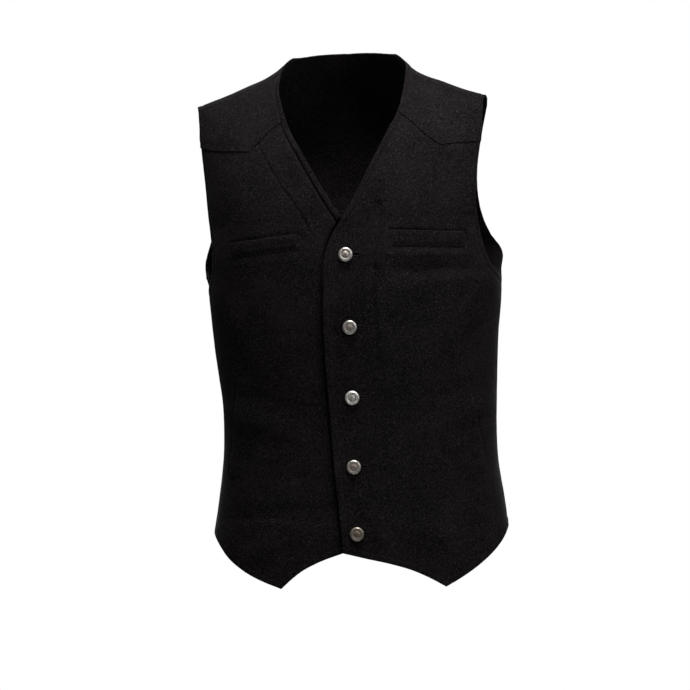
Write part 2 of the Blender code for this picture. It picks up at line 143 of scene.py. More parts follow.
class EdgeKind(Enum):
    """How an edge of a panel is finished."""

    TURNED = "turned under and topstitched"
    SEWN = "taken into a seam"
    COVERED = "hidden under another piece"


class Slot(Enum):
    """The record's material slots."""

    WOOL = "wool"
    BUTTON = "button"


class Node(Enum):
    """The shader nodes that the finishes use."""

    PRINCIPLED = "ShaderNodeBsdfPrincipled"
    OUTPUT = "ShaderNodeOutputMaterial"
    MATHS = "ShaderNodeMath"
    VECTOR_MATHS = "ShaderNodeVectorMath"
    MIX = "ShaderNodeMix"
    NOISE = "ShaderNodeTexNoise"
    PLACE = "ShaderNodeTexCoord"
    RANGE = "ShaderNodeMapRange"
    BUMP = "ShaderNodeBump"
    BACKGROUND = "ShaderNodeBackground"
    WORLD_OUTPUT = "ShaderNodeOutputWorld"


@dataclass(frozen=True)
class Value:
    """A socket that arithmetic turns into Math nodes, or Vector Math nodes where it is a vector."""

    kit: "NodeKit"
    socket: bpy.types.NodeSocket

    def maths(self, operation: str, *others: "Value | float") -> "Value":
        """Adds one Math or Vector Math node.

        Args:
            operation: The node's operation.
            others: The values after this one.

        Returns:
            The node's result.
        """
        vector = self.socket.type in {"VECTOR", "RGBA"}
        kind = Node.VECTOR_MATHS if vector else Node.MATHS
        return self.kit.add(kind, {"operation": operation}, dict(enumerate((self, *others))))

    def __add__(self, other: "Value | float") -> "Value":
        """This plus other."""
        return self.maths("ADD", other)

    def __mul__(self, other: "Value | float") -> "Value":
        """This times other."""
        return self.maths("MULTIPLY", other)

    def __sub__(self, other: "Value | float") -> "Value":
        """This less other."""
        return self.maths("SUBTRACT", other)


class NodeKit:
    """Builds the nodes of one material or world."""

    def __init__(self, tree: bpy.types.NodeTree) -> None:
        """Takes an empty node tree."""
        self.tree = tree

    def add(
        self,
        kind: Node,
        settings: dict[str, Any] | None = None,
        sockets: dict[str | int, Any] | None = None,
        output: str | int = 0,
    ) -> Value:
        """Adds one node.

        Args:
            kind: The node's type.
            settings: Properties of the node, set before its sockets.
            sockets: Values or links for its sockets, by name or number.
            output: The output to return.

        Returns:
            The node's output.
        """
        node = self.tree.nodes.new(kind.value)
        for name, setting in (settings or {}).items():
            setattr(node, name, setting)
        for name, value in (sockets or {}).items():
            socket = node.inputs[name]
            if isinstance(value, Value):
                self.tree.links.new(value.socket, socket)
            elif socket.type == "RGBA":
                socket.default_value = (*value, 1.0)
            elif socket.type == "VECTOR" and not hasattr(value, "__len__"):
                socket.default_value = (value, value, value)
            else:
                socket.default_value = value
        return Value(self, node.outputs[output]) if len(node.outputs) else Value(self, node.inputs[0])

    def place(self) -> Value:
        """The point on the surface in its object's own metres."""
        return self.add(Node.PLACE, output="Object")

    def noise(self, place: Value, per_metre: float, detail: float = 2.0) -> Value:
        """A smooth noise from 0 to 1 with so many cells in a metre."""
        return self.add(
            Node.NOISE, sockets={"Vector": place, "Scale": per_metre, "Detail": detail}, output="Fac"
        )

    def ramp(self, value: Value, low: float, high: float) -> Value:
        """A smooth step between two limits, held at 0 and 1 beyond them.

        Args:
            value: What the step follows.
            low: Where it is 0; it may be the larger.
            high: Where it is 1.

        Returns:
            A value from 0 to 1.
        """
        return self.add(
            Node.RANGE,
            {"interpolation_type": "SMOOTHSTEP"},
            {"Value": value, "From Min": low, "From Max": high},
        )

    def mix(self, share: Value, first: "Value | Colour", second: "Value | Colour") -> Value:
        """A colour between two, by a share from 0 to 1."""
        return self.add(
            Node.MIX, {"data_type": "RGBA"}, {"Factor": share, 6: first, 7: second}, output=2
        )

    def lean(self, direction: Value, towards: tuple[float, float, float]) -> Value:
        """How far a unit direction leans towards another: 1 along it and -1 against it."""
        return self.add(
            Node.VECTOR_MATHS, {"operation": "DOT_PRODUCT"}, {0: direction, 1: towards}, output="Value"
        )

    def bump(self, height: Value, distance: float, strength: float) -> Value:
        """A normal raised by a height, with its full height in millimetres."""
        return self.add(
            Node.BUMP, sockets={"Height": height, "Distance": distance * MM, "Strength": strength}
        )


def new_material(name: str) -> tuple[bpy.types.Material, NodeKit]:
    """Makes an empty node material.

    Args:
        name: The material's name.

    Returns:
        The material and a kit for its nodes.
    """
    made = bpy.data.materials.new(name)
    made.use_nodes = True
    made.node_tree.nodes.clear()
    return made, NodeKit(made.node_tree)


@dataclass(frozen=True)
class MeltonWool:
    """Brushed charcoal melton: matted dark fibres with scattered paler ones and a soft nap."""

    name: str = "charcoal_melton"
    dark: Colour = (0.0016, 0.0013, 0.0014)
    mid: Colour = (0.0067, 0.0058, 0.0061)
    pale: Colour = (0.026, 0.0235, 0.0242)
    fleck_per_metre: float = 560.0
    fibre_per_metre: float = 1500.0
    cloud_per_metre: float = 22.0
    fibre_stretch: Colour = (1.0, 1.0, 0.35)
    fleck_share: float = 0.62
    fibre_share: float = 0.30
    cloud_share: float = 0.16
    body_span: Span = (0.42, 0.665)
    bright_scale: float = 1.35
    bright_span: Span = (0.62, 0.76)
    bright_share: float = 0.8
    nap_fleck: float = 0.7
    nap_fibre: float = 0.5
    nap_height: float = 0.4
    nap_strength: float = 0.8
    roughness: float = 0.95
    sheen: float = 0.030
    sheen_roughness: float = 0.3
    sheen_tint: Colour = (0.92, 0.90, 0.91)

    def material(self) -> bpy.types.Material:
        """Builds the cloth's material.

        Returns:
            The material.
        """
        made, kit = new_material(self.name)
        place = kit.place()
        fleck = kit.noise(place, self.fleck_per_metre, 3.0)
        fibre = kit.noise(place * Vector(self.fibre_stretch), self.fibre_per_metre)
        cloud = kit.noise(place, self.cloud_per_metre, 3.0)
        shade = fleck * self.fleck_share + fibre * self.fibre_share + cloud * self.cloud_share
        body = kit.ramp(shade, *self.body_span)
        spots = kit.noise(place, self.fleck_per_metre * self.bright_scale, 1.0)
        bright = kit.ramp(spots, *self.bright_span)
        colour = kit.mix(bright * self.bright_share, kit.mix(body, self.dark, self.mid), self.pale)
        height = fleck * self.nap_fleck + fibre * self.nap_fibre
        nap = kit.bump(height, self.nap_height, self.nap_strength)
        cloth = kit.add(
            Node.PRINCIPLED,
            sockets={
                "Base Color": colour,
                "Roughness": self.roughness,
                "Specular IOR Level": 0.0,
                "Sheen Weight": self.sheen,
                "Sheen Roughness": self.sheen_roughness,
                "Sheen Tint": self.sheen_tint,
                "Normal": nap,
            },
        )
        kit.add(Node.OUTPUT, sockets={"Surface": cloth})
        return made


@dataclass(frozen=True)
class SewingThread:
    """Black twisted polyester thread."""

    name: str = "black_thread"
    colour: Colour = (0.0035, 0.0032, 0.0034)
    lighter: float = 2.4
    twist_per_metre: float = 2600.0
    twist_height: float = 0.08
    twist_strength: float = 0.6
    roughness: float = 0.7
    gloss: float = 0.03

    def material(self) -> bpy.types.Material:
        """Builds the thread's material.

        Returns:
            The material.
        """
        made, kit = new_material(self.name)
        strand = kit.noise(kit.place(), self.twist_per_metre, 1.0)
        lighter = tuple(self.lighter * part for part in self.colour)
        thread = kit.add(
            Node.PRINCIPLED,
            sockets={
                "Base Color": kit.mix(strand, self.colour, lighter),
                "Roughness": self.roughness,
                "Specular IOR Level": self.gloss,
                "Normal": kit.bump(strand, self.twist_height, self.twist_strength),
            },
        )
        kit.add(Node.OUTPUT, sockets={"Surface": thread})
        return made


@dataclass(frozen=True)
class AntiqueNickel:
    """Cast nickel: a worn broad rim, and a low dome that has browned.

    Wear is 0 where both have tarnished and 1 where they are worn bright, or more.
    """

    name: str = "antique_nickel"
    wear: float = 1.0
    rim: Colour = (0.40, 0.385, 0.365)
    tarnish: Colour = (0.155, 0.136, 0.115)
    seam: Colour = (0.11, 0.096, 0.084)
    dome: Colour = (0.275, 0.25, 0.224)
    brown: Colour = (0.108, 0.077, 0.056)
    seam_radius: float = 4.3
    seam_half: float = 0.6
    seam_core: float = 0.1
    patina_per_metre: float = 620.0
    patina_span: Span = (0.46, 0.60)
    patina_share: float = 0.72
    rough_per_metre: float = 900.0
    roughness: float = 0.36
    rough_spread: float = 0.2
    rim_polish: float = 0.04
    pits_per_metre: float = 1100.0
    pit_depth: float = 0.2
    pit_strength: float = 0.75

    def material(self) -> bpy.types.Material:
        """Builds the buttons' material, which reads the distance from a button's own axis.

        Returns:
            The material.
        """
        made, kit = new_material(self.name)
        place = kit.place()
        away = kit.add(
            Node.VECTOR_MATHS, {"operation": "LENGTH"}, {0: place * Vector((1.0, 1.0, 0.0))}, output="Value"
        )
        middle, half = self.seam_radius * MM, self.seam_half * MM
        on_rim = kit.ramp(away, middle - half, middle + half)
        off_seam = kit.ramp((away - middle).maths("ABSOLUTE"), self.seam_core * MM, half)
        rim = Vector(self.tarnish).lerp(Vector(self.rim), self.wear)
        dome = Vector(self.brown).lerp(Vector(self.dome), self.wear)
        own = place + Vector((self.wear, 0.0, 0.0))
        patina = kit.ramp(kit.noise(own, self.patina_per_metre, 4.0), *self.patina_span)
        worn = kit.mix(patina * self.patina_share, kit.mix(on_rim, dome, rim), self.seam)
        rough = kit.noise(own, self.rough_per_metre) * self.rough_spread
        pits = kit.noise(own, self.pits_per_metre, 3.0)
        metal = kit.add(
            Node.PRINCIPLED,
            sockets={
                "Base Color": kit.mix(off_seam, self.seam, worn),
                "Metallic": 1.0,
                "Roughness": rough + on_rim * -self.rim_polish + self.roughness,
                "Normal": kit.bump(pits, self.pit_depth, self.pit_strength),
            },
        )
        kit.add(Node.OUTPUT, sockets={"Surface": metal})
        return made


@dataclass(frozen=True)
class PaleFloor:
    """A matt white studio floor with a faint unevenness."""

    name: str = "pale_floor"
    colour: Colour = (0.86, 0.86, 0.86)
    lighter: float = 1.04
    cloud_per_metre: float = 3.0
    roughness: float = 0.9
    gloss: float = 0.1

    def material(self) -> bpy.types.Material:
        """Builds the floor's material.

        Returns:
            The material.
        """
        made, kit = new_material(self.name)
        cloud = kit.noise(kit.place(), self.cloud_per_metre)
        lighter = tuple(min(1.0, part * self.lighter) for part in self.colour)
        paint = kit.add(
            Node.PRINCIPLED,
            sockets={
                "Base Color": kit.mix(cloud, self.colour, lighter),
                "Roughness": self.roughness,
                "Specular IOR Level": self.gloss,
            },
        )
        kit.add(Node.OUTPUT, sockets={"Surface": paint})
        return made


class Spline:
    """A smooth curve through given values, read at any place between the first and the last."""

    def __init__(self, at: Sequence[float], values: Any) -> None:
        """Takes rising places and a value, or a row of values, for each."""
        self.at = np.asarray(at, float)
        self.values = np.asarray(values, float)
        self.slopes = np.gradient(self.values, self.at, axis=0)

    def __call__(self, wanted: Array) -> Array:
        """Reads the curve.

        Args:
            wanted: Places along it; those outside are moved to its ends.

        Returns:
            The value at each place.
        """
        wanted = np.clip(wanted, self.at[0], self.at[-1])
        i = np.clip(np.searchsorted(self.at, wanted, "right") - 1, 0, len(self.at) - 2)
        span = self.at[i + 1] - self.at[i]
        t = (wanted - self.at[i]) / span
        if self.values.ndim > 1:
            span, t = span[..., None], t[..., None]
        start = (2 * t**3 - 3 * t**2 + 1) * self.values[i] + (t**3 - 2 * t**2 + t) * span * self.slopes[i]
        end = (3 * t**2 - 2 * t**3) * self.values[i + 1] + (t**3 - t**2) * span * self.slopes[i + 1]
        return start + end


def smooth_step(value: Array) -> Array:
    """0 below 0, 1 above 1, and an even ease between."""
    t = np.clip(value, 0, 1)
    return t * t * (3 - 2 * t)


def run_along(points: Array) -> Array:
    """The distance run at each point of a line."""
    return np.concatenate([[0], np.cumsum(np.linalg.norm(np.diff(points, axis=0), axis=1))])


def distance_to(points: Array, line: Array) -> Array:
    """Shortest distances to a line of straight stretches.

    Args:
        points: Points in any arrangement, coordinates last.
        line: The line's points.

    Returns:
        A distance for each point.
    """
    nearest = np.full(points.shape[:-1], np.inf)
    for start, end in zip(line[:-1], line[1:]):
        step = end - start
        length = max(float(step @ step), 1e-9)
        along = np.clip((points - start) @ step / length, 0, 1)
        gap = points - (start + along[..., None] * step)
        nearest = np.minimum(nearest, np.einsum("...k,...k->...", gap, gap))
    return np.sqrt(nearest)


def drawn(rows: Rows, side: Side = Side.LEFT, steps: int = DRAWN_STEPS) -> Array:
    """A smooth line in the front view through a table's rows.

    Args:
        rows: Points with x counted outwards on their own side.
        side: The side that the line is on.
        steps: How many points each stretch gets.

    Returns:
        Dense x and z points.
    """
    points = np.array(rows, float) * (side.value, 1)
    at = run_along(points)
    wanted = np.concatenate(
        [np.linspace(a, b, steps, endpoint=False) for a, b in zip(at[:-1], at[1:])] + [at[-1:]]
    )
    return Spline(at, points)(wanted)


def cut_at(line: Array, low: float, high: float) -> Array:
    """The stretch of a drawn line between two heights, lowest first.

    Args:
        line: The line, in x and z.
        low: The stretch's lowest height.
        high: Its highest.

    Returns:
        The stretch's points.
    """
    order = np.argsort(line[:, 1])
    ends = [(np.interp(z, line[order, 1], line[order, 0]), z) for z in (low, high)]
    inner = line[(line[:, 1] > low) & (line[:, 1] < high)]
    return np.vstack([ends[0], inner[np.argsort(inner[:, 1])], ends[1]])


class Section(NamedTuple):
    """One level of the body: its height, middle, half width and depths in front and behind."""

    z: float
    centre: float
    half: float
    front: float
    back: float


SECTIONS = (
    Section(-200, 2.0, 185.5, 117.0, 116.0),
    Section(-240, 2.5, 186.0, 121.0, 113.0),
    Section(-285, 3.0, 185.0, 122.0, 110.0),
    Section(-350, 2.0, 179.5, 119.0, 103.0),
    Section(-430, 3.5, 173.0, 113.0, 97.0),
    Section(-500, 1.5, 173.5, 111.5, 99.0),
    Section(-560, 0.0, 181.5, 112.5, 104.0),
    Section(-592, -1.0, 186.5, 114.0, 107.0),
    Section(-665, -1.0, 198.0, 116.0, 111.0),
)

# Height of the shoulders' top line at a distance from the middle; the wearer's left one hangs lower
RIDGE = (
    (0, 58), (40, 36), (60, 18), (79, 1), (100, -12), (125, -22), (150, -32), (180, -42), (205, -50),
)


@dataclass
class BodySurface:
    """The smooth surface of the worn body, which every panel lies on."""

    sections: Spline = field(
        default_factory=lambda: Spline([-row.z for row in SECTIONS], [row[1:] for row in SECTIONS])
    )
    top_line: Spline = field(default_factory=lambda: Spline(*zip(*RIDGE)))

    def ridge(self, x: Array) -> Array:
        """Height of the shoulders' top line."""
        return self.top_line(np.abs(x)) - LEFT_DROP * smooth_step((x - DROP_START_X) / DROP_RUN)

    def half_width(self, level: Array, q: Array, behind: Array) -> Array:
        """Half the body's width.

        Args:
            level: Height, no higher than the armholes' level.
            q: The share of the way from the armholes' level up to the shoulders.
            behind: True on the back, which stands wider beside the armholes.

        Returns:
            Half widths.
        """
        flare = BACK_FLARE * smooth_step((level - FLARE_END) / (FLARE_FULL - FLARE_END))
        half = self.sections(-level)[..., 1] + np.where(behind, flare, 0)
        return half + (SHOULDER_HALF - half) * q

    def points(self, grid: Array) -> Array:
        """Where surface coordinates lie in the world.

        Args:
            grid: Surface coordinates, u and v last.

        Returns:
            World points, in millimetres.
        """
        u, v = grid[..., 0], grid[..., 1]
        q = np.clip((v - ARMHOLE_LEVEL) / UPPER_RUN, 0, 2)
        u = np.where(q > 1, math.pi - u, u)
        q = np.where(q > 1, 2 - q, q)
        level = np.minimum(v, ARMHOLE_LEVEL)
        centre, _, front, back = np.moveaxis(self.sections(-level), -1, 0)
        behind = np.cos(u) < 0
        power = np.where(behind, BACK_POWER, FRONT_POWER)
        rise = 1 - (1 - q) ** power
        x = centre + self.half_width(level, q, behind) * np.sin(u)
        z = level + rise * (self.ridge(x) - ARMHOLE_LEVEL)
        round_off = (1 - np.abs(np.sin(u)) ** RING_POWER) ** (1 / RING_POWER)
        y = np.where(behind, back, -front) * round_off * (1 - rise**power) ** (1 / power)
        return np.stack([x, y, z], -1)

    def slopes(self, grid: Array) -> tuple[Array, Array]:
        """How far a point moves for each unit of u and of v.

        Args:
            grid: Surface coordinates, u and v last.

        Returns:
            The two movements at each point.
        """
        du, dv = np.array([1e-3, 0.0]), np.array([0.0, 0.5])
        across = (self.points(grid + du) - self.points(grid - du)) / (2 * du[0])
        return across, (self.points(grid + dv) - self.points(grid - dv)) / (2 * dv[1])

    def normals(self, grid: Array) -> Array:
        """Unit normals, pointing out."""
        normal = np.cross(*self.slopes(grid))
        return normal / np.linalg.norm(normal, axis=-1, keepdims=True)

    def coordinates(self, line: Array, behind: bool = False) -> Array:
        """Surface coordinates of what the front view, or the back view, shows.

        Args:
            line: Points of x and z.
            behind: True for the back view.

        Returns:
            Points of u and v.
        """
        x, z = line[..., 0], line[..., 1]
        level = np.minimum(z, ARMHOLE_LEVEL)
        power = BACK_POWER if behind else FRONT_POWER
        rise = np.clip((z - ARMHOLE_LEVEL) / (self.ridge(x) - ARMHOLE_LEVEL), 0, 1)
        q = 1 - (1 - rise) ** (1 / power)
        centre = self.sections(-level)[..., 0]
        half = self.half_width(level, q, np.full(x.shape, behind))
        u = np.arcsin(np.clip((x - centre) / half, -1, 1))
        v = np.where(z > ARMHOLE_LEVEL, ARMHOLE_LEVEL + UPPER_RUN * q, z)
        return np.stack([math.pi - u if behind else u, v], -1)

    def inset(self, line: Array, distance: float, towards: Array) -> Array:
        """A line moved along the surface to one side of itself.

        Args:
            line: Surface coordinates.
            distance: How far it moves.
            towards: A world point on the side that it moves to.

        Returns:
            The moved line's surface coordinates.
        """
        points = self.points(line)
        forward = np.gradient(points, axis=0)
        inward = np.cross(self.normals(line), forward)
        inward /= np.maximum(np.linalg.norm(inward, axis=1, keepdims=True), 1e-9)
        middle = len(line) // 2
        if inward[middle] @ (towards - points[middle]) < 0:
            inward = -inward
        du, dv = self.slopes(line)
        uu, uv, vv = (np.sum(a * b, axis=1) for a, b in ((du, du), (du, dv), (dv, dv)))
        pu, pv = (distance * np.sum(a * inward, axis=1) for a in (du, dv))
        scale = uu * vv - uv * uv
        return line + np.stack([(pu * vv - pv * uv) / scale, (pv * uu - pu * uv) / scale], -1)


class Fold(NamedTuple):
    """A soft fold: its middle in the front or back view, tilt, half length, half width and height."""

    x: float
    z: float
    tilt_deg: float
    length: float
    width: float
    height: float
    behind: bool = False
    bend: float = 0.0

    def lift(self, x: Array, z: Array) -> Array:
        """How far the fold lifts the cloth at points of its view.

        Args:
            x: The points' x.
            z: The points' heights.

        Returns:
            A lift for each point.
        """
        dx, dz = x - self.x, z - self.z
        tilt = math.radians(self.tilt_deg)
        along = (dx * math.cos(tilt) + dz * math.sin(tilt)) / self.length
        across = (dz * math.cos(tilt) - dx * math.sin(tilt) - self.bend * along**2) / self.width
        return self.height * np.exp(-(along**2) - across**2)


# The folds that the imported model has
FOLDS = (
    Fold(146, -318, 68, 55, 13, 1.8),
    Fold(-140, -330, -62, 62, 14, 2.2),
    Fold(128, -452, 24, 52, 13, 1.6),
    Fold(-126, -446, -20, 60, 14, 1.8),
    Fold(100, -266, 3, 52, 11, -1.6),
    Fold(-84, -562, 2, 78, 10, -1.6),
    Fold(104, -598, -14, 50, 16, 2.0),
    Fold(-118, -606, 18, 46, 15, 1.6),
    Fold(-148, -150, 84, 44, 13, 1.6),
    Fold(40, -262, 88, 60, 9, -1.2),
    Fold(-88, -176, 58, 48, 14, 2.4, True),
    Fold(96, -188, -54, 52, 15, 2.2, True),
    Fold(-16, -412, 4, 70, 12, -2.4, True),
    Fold(62, -446, 12, 64, 13, 2.2, True),
    Fold(-70, -470, -9, 60, 13, 2.0, True),
    Fold(18, -560, 82, 60, 18, 2.2, True),
)

# Shallower creases that lie on them, worn in at the waist, armholes, overlap and back
CREASES = (
    Fold(158, -296, 62, 30, 5, 0.7, bend=5),
    Fold(150, -352, 58, 26, 5, -0.6, bend=-4),
    Fold(-152, -300, -56, 34, 6, 0.35, bend=-6),
    Fold(-146, -372, -48, 28, 7, -0.3, bend=4),
    Fold(118, -420, 14, 34, 6, -0.6, bend=4),
    Fold(146, -476, 32, 28, 5, 0.6, bend=-3),
    Fold(-112, -418, -12, 38, 6, -0.7, bend=-5),
    Fold(-140, -480, -30, 30, 6, 0.3, bend=3),
    Fold(62, -505, 8, 34, 7, 0.5, bend=3),
    Fold(-64, -520, -6, 36, 7, -0.5, bend=-3),
    Fold(70, -380, -10, 30, 8, 0.4, bend=4),
    Fold(-72, -352, 12, 34, 8, 0.4, bend=-4),
    Fold(34, -330, 24, 20, 5, 0.35, bend=2),
    Fold(-52, -424, -20, 22, 5, 0.35, bend=2),
    Fold(30, -512, -24, 20, 5, -0.35, bend=-2),
    Fold(140, -128, 70, 22, 6, 0.5, bend=3),
    Fold(-134, -180, 50, 24, 6, -0.5, bend=3),
    Fold(122, -176, -52, 24, 6, -0.45, bend=-3),
    Fold(104, -268, 4, 46, 7, -0.5, bend=-3),
    Fold(-96, -270, -4, 40, 7, -0.4, bend=3),
    Fold(-120, -196, 64, 36, 6, 0.9, True, 6),
    Fold(-62, -214, 48, 30, 6, -0.7, True, 4),
    Fold(128, -206, -60, 36, 6, 0.9, True, -6),
    Fold(66, -222, -46, 30, 6, -0.7, True, -4),
    Fold(-98, -396, 10, 44, 6, -0.9, True, 5),
    Fold(30, -392, 6, 48, 7, 0.8, True, -4),
    Fold(104, -420, -8, 38, 6, -0.8, True, 5),
    Fold(-20, -448, -5, 52, 7, 0.9, True, 4),
    Fold(60, -486, 8, 42, 7, -0.7, True, -4),
    Fold(-110, -520, -16, 38, 7, 0.7, True, 4),
    Fold(112, -536, 14, 40, 7, 0.7, True, -4),
    Fold(0, -60, 2, 60, 9, -0.6, True, 3),
)


class Impression(NamedTuple):
    """A soft line pressed into a front or raised in it, with x counted outwards on its own side."""

    side: Side
    points: Rows
    width: float
    height: float


# The turned-in facings, the pockets' mouths and bags, and the hems, as they show through the fronts
IMPRESSIONS = (
    Impression(
        Side.RIGHT,
        ((126, -40), (119, -66), (112, -86), (102, -113), (91, -135), (76.5, -159), (59, -185), (46, -208)),
        1.7, -0.75,
    ),
    Impression(Side.RIGHT, ((98, -113), (86, -135), (72, -159), (55, -185), (42, -208)), 3.4, 0.35),
    Impression(
        Side.RIGHT,
        (
            (17.8, -613), (20.2, -572), (24.2, -520), (27.5, -448), (30.4, -385), (31.2, -335),
            (29.7, -290), (25.2, -244), (16.2, -219.5), (6, -203),
        ),
        2.6, -4.6,
    ),
    Impression(
        Side.LEFT,
        (
            (30, -180), (28, -215), (24, -246), (22, -277), (22, -339), (22, -400), (23, -475),
            (25, -549), (27.5, -603),
        ),
        4.0, 0.5,
    ),
    Impression(Side.LEFT, ((42, -184), (38, -212), (34, -236), (32, -262)), 4.4, -2.9),
    Impression(Side.LEFT, ((32, -262), (31, -290), (31, -335)), 4.2, -1.4),
    Impression(Side.LEFT, ((51, -188), (47, -212), (43, -240), (40, -280), (38, -340)), 4.2, 1.2),
    Impression(Side.LEFT, ((34, -340), (34, -400), (36, -475), (38, -549), (40, -603)), 2.6, -0.5),
    Impression(
        Side.LEFT,
        ((54, -215.9), (78, -217.2), (104, -218.7), (130, -220), (145.5, -221), (147.5, -227), (147, -236)),
        1.5, -1.9,
    ),
    Impression(Side.LEFT, ((57, -236.4), (90, -238.5), (120, -239.7), (144.5, -240.2)), 1.4, -1.1),
    Impression(Side.RIGHT, ((60, -237), (90, -239.6), (120, -241.8), (143, -243)), 1.4, -0.4),
    Impression(Side.LEFT, ((47, -245), (91, -247.5), (130, -248), (152, -248)), 4.0, 0.8),
    Impression(Side.LEFT, ((60, -264), (102, -268), (150, -266)), 7.0, -0.9),
    Impression(Side.LEFT, ((46, -212), (44.5, -234), (43, -256)), 2.6, 0.5),
    Impression(
        Side.RIGHT,
        ((53, -226), (54.5, -219), (61, -216.6), (81, -217.2), (113, -220.2), (147, -223.4)),
        1.4, -1.4,
    ),
    Impression(Side.RIGHT, ((60, -247), (90, -249.5), (140, -251)), 3.0, 0.4),
    Impression(Side.RIGHT, ((36, -575), (83, -570), (135, -568.5), (172, -571)), 3.0, -0.5),
    Impression(Side.LEFT, ((143, -390), (142.5, -420), (143, -455), (146, -487)), 4.0, 0.9),
    Impression(Side.LEFT, ((141, -390), (151.5, -452), (161, -516)), 1.6, -1.0),
    Impression(Side.RIGHT, ((143, -392), (152, -450), (161, -515)), 1.6, -1.0),
    Impression(Side.LEFT, ((109, -493), (129, -516), (150, -540)), 4.0, -0.8),
    Impression(Side.RIGHT, ((144, -392), (143, -425), (145, -470), (150, -510)), 3.4, 0.7),
    Impression(Side.LEFT, ((30, -586), (70, -596), (104, -606), (140, -598), (176, -574)), 2.6, -0.3),
)


@dataclass(frozen=True)
class Edge:
    """One stretch of a panel's outline, as surface coordinates, and how it is finished.

    The depth is how far its topstitching sinks into the cloth, in millimetres.
    """

    line: Array
    kind: EdgeKind
    depth: float = 0.0


@dataclass(frozen=True)
class Outline:
    """A panel's four edges in stretches: bottom and top run one way, first and last upwards."""

    bottom: tuple[Edge, ...]
    top: tuple[Edge, ...]
    first: tuple[Edge, ...]
    last: tuple[Edge, ...]

    def turned(self) -> list[Edge]:
        """The stretches that are turned under and topstitched."""
        edges = (*self.bottom, *self.top, *self.first, *self.last)
        return [edge for edge in edges if edge.kind is EdgeKind.TURNED]


@dataclass(frozen=True)
class Cut:
    """What a maker cuts for a panel: the flat piece's width, length and area, in metres."""

    width: float
    length: float
    area: float


FRONT_RIGHT_CUT = Cut(0.27, 0.56, 0.128)
FRONT_LEFT_CUT = Cut(0.27, 0.56, 0.130)
YOKE_CUT = Cut(0.13, 0.13, 0.0102)
BACK_CUT = Cut(0.60, 0.68, 0.278)
CHEST_WELT_CUT = Cut(0.1, 0.02, 0.0019)
POCKET_WELT_CUT = Cut(0.135, 0.025, 0.0031)


@dataclass
class Piece:
    """A finished mesh that rides on the vest."""

    name: str
    points: Array
    faces: list[Sequence[int]]
    material: bpy.types.Material
    slot: Slot
    place: Matrix = field(default_factory=lambda: Matrix.Identity(4))

    def make(self) -> bpy.types.Object:
        """Builds the object, smooth, and sets it riding on the vest's body.

        Returns:
            The object.
        """
        mesh = bpy.data.meshes.new(self.name)
        mesh.from_pydata((self.points * MM).tolist(), [], self.faces)
        mesh.materials.append(self.material)
        mesh.shade_smooth()
        made = bpy.data.objects.new(self.name, mesh)
        bpy.context.collection.objects.link(made)
        made.matrix_world = self.place
        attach(made, "root")
        log.info("%s: %d faces", self.name, len(self.faces))
        return made


@dataclass
class Sewing:
    """Stitches of thread, each a short bead that rises out of the cloth and dips back into it."""

    name: str
    thread: bpy.types.Material
    radius: float = 0.26
    sides: int = 6
    lifts: tuple[float, ...] = (-0.30, 0.10, 0.16, 0.10, -0.30)
    swells: tuple[float, ...] = (0.45, 0.95, 1.0, 0.95, 0.45)
    starts: list[Array] = field(default_factory=list)
    ends: list[Array] = field(default_factory=list)
    normals: list[Array] = field(default_factory=list)

    def add(self, starts: Array, ends: Array, normals: Array) -> None:
        """Adds stitches to those that make builds.

        Args:
            starts: Where each stitch starts.
            ends: Where it ends.
            normals: The cloth's normals there.
        """
        self.starts.append(starts)
        self.ends.append(ends)
        self.normals.append(normals)

    def make(self) -> bpy.types.Object:
        """Builds all the stitches as one mesh.

        Returns:
            The mesh object.
        """
        start, end, normal = (np.vstack(part) for part in (self.starts, self.ends, self.normals))
        along = np.linspace(0, 1, len(self.lifts))[None, :, None]
        middle = start[:, None] + along * (end - start)[:, None]
        middle = middle + np.array(self.lifts)[None, :, None] * normal[:, None]
        forward = end - start
        forward /= np.linalg.norm(forward, axis=1, keepdims=True)
        across = np.cross(normal, forward)
        across /= np.linalg.norm(across, axis=1, keepdims=True)
        up = np.cross(forward, across)
        turn = np.linspace(0, 2 * math.pi, self.sides, endpoint=False)
        ring = np.cos(turn)[:, None] * across[:, None] + np.sin(turn)[:, None] * up[:, None]
        radii = self.radius * np.array(self.swells)[None, :, None, None]
        points = middle[:, :, None] + radii * ring[:, None]
        each = len(self.lifts) * self.sides
        index = np.arange(each).reshape(-1, self.sides)
        after = np.roll(index, -1, axis=1)
        quads = np.stack([index[:-1], after[:-1], after[1:], index[1:]], -1).reshape(-1, 4)
        caps = [index[0, ::-1], index[-1]]
        faces: list[Sequence[int]] = []
        for first in range(0, len(start) * each, each):
            faces.extend((quads + first).tolist())
            faces.extend((cap + first).tolist() for cap in caps)
        return Piece(self.name, points.reshape(-1, 3), faces, self.thread, Slot.WOOL).make()


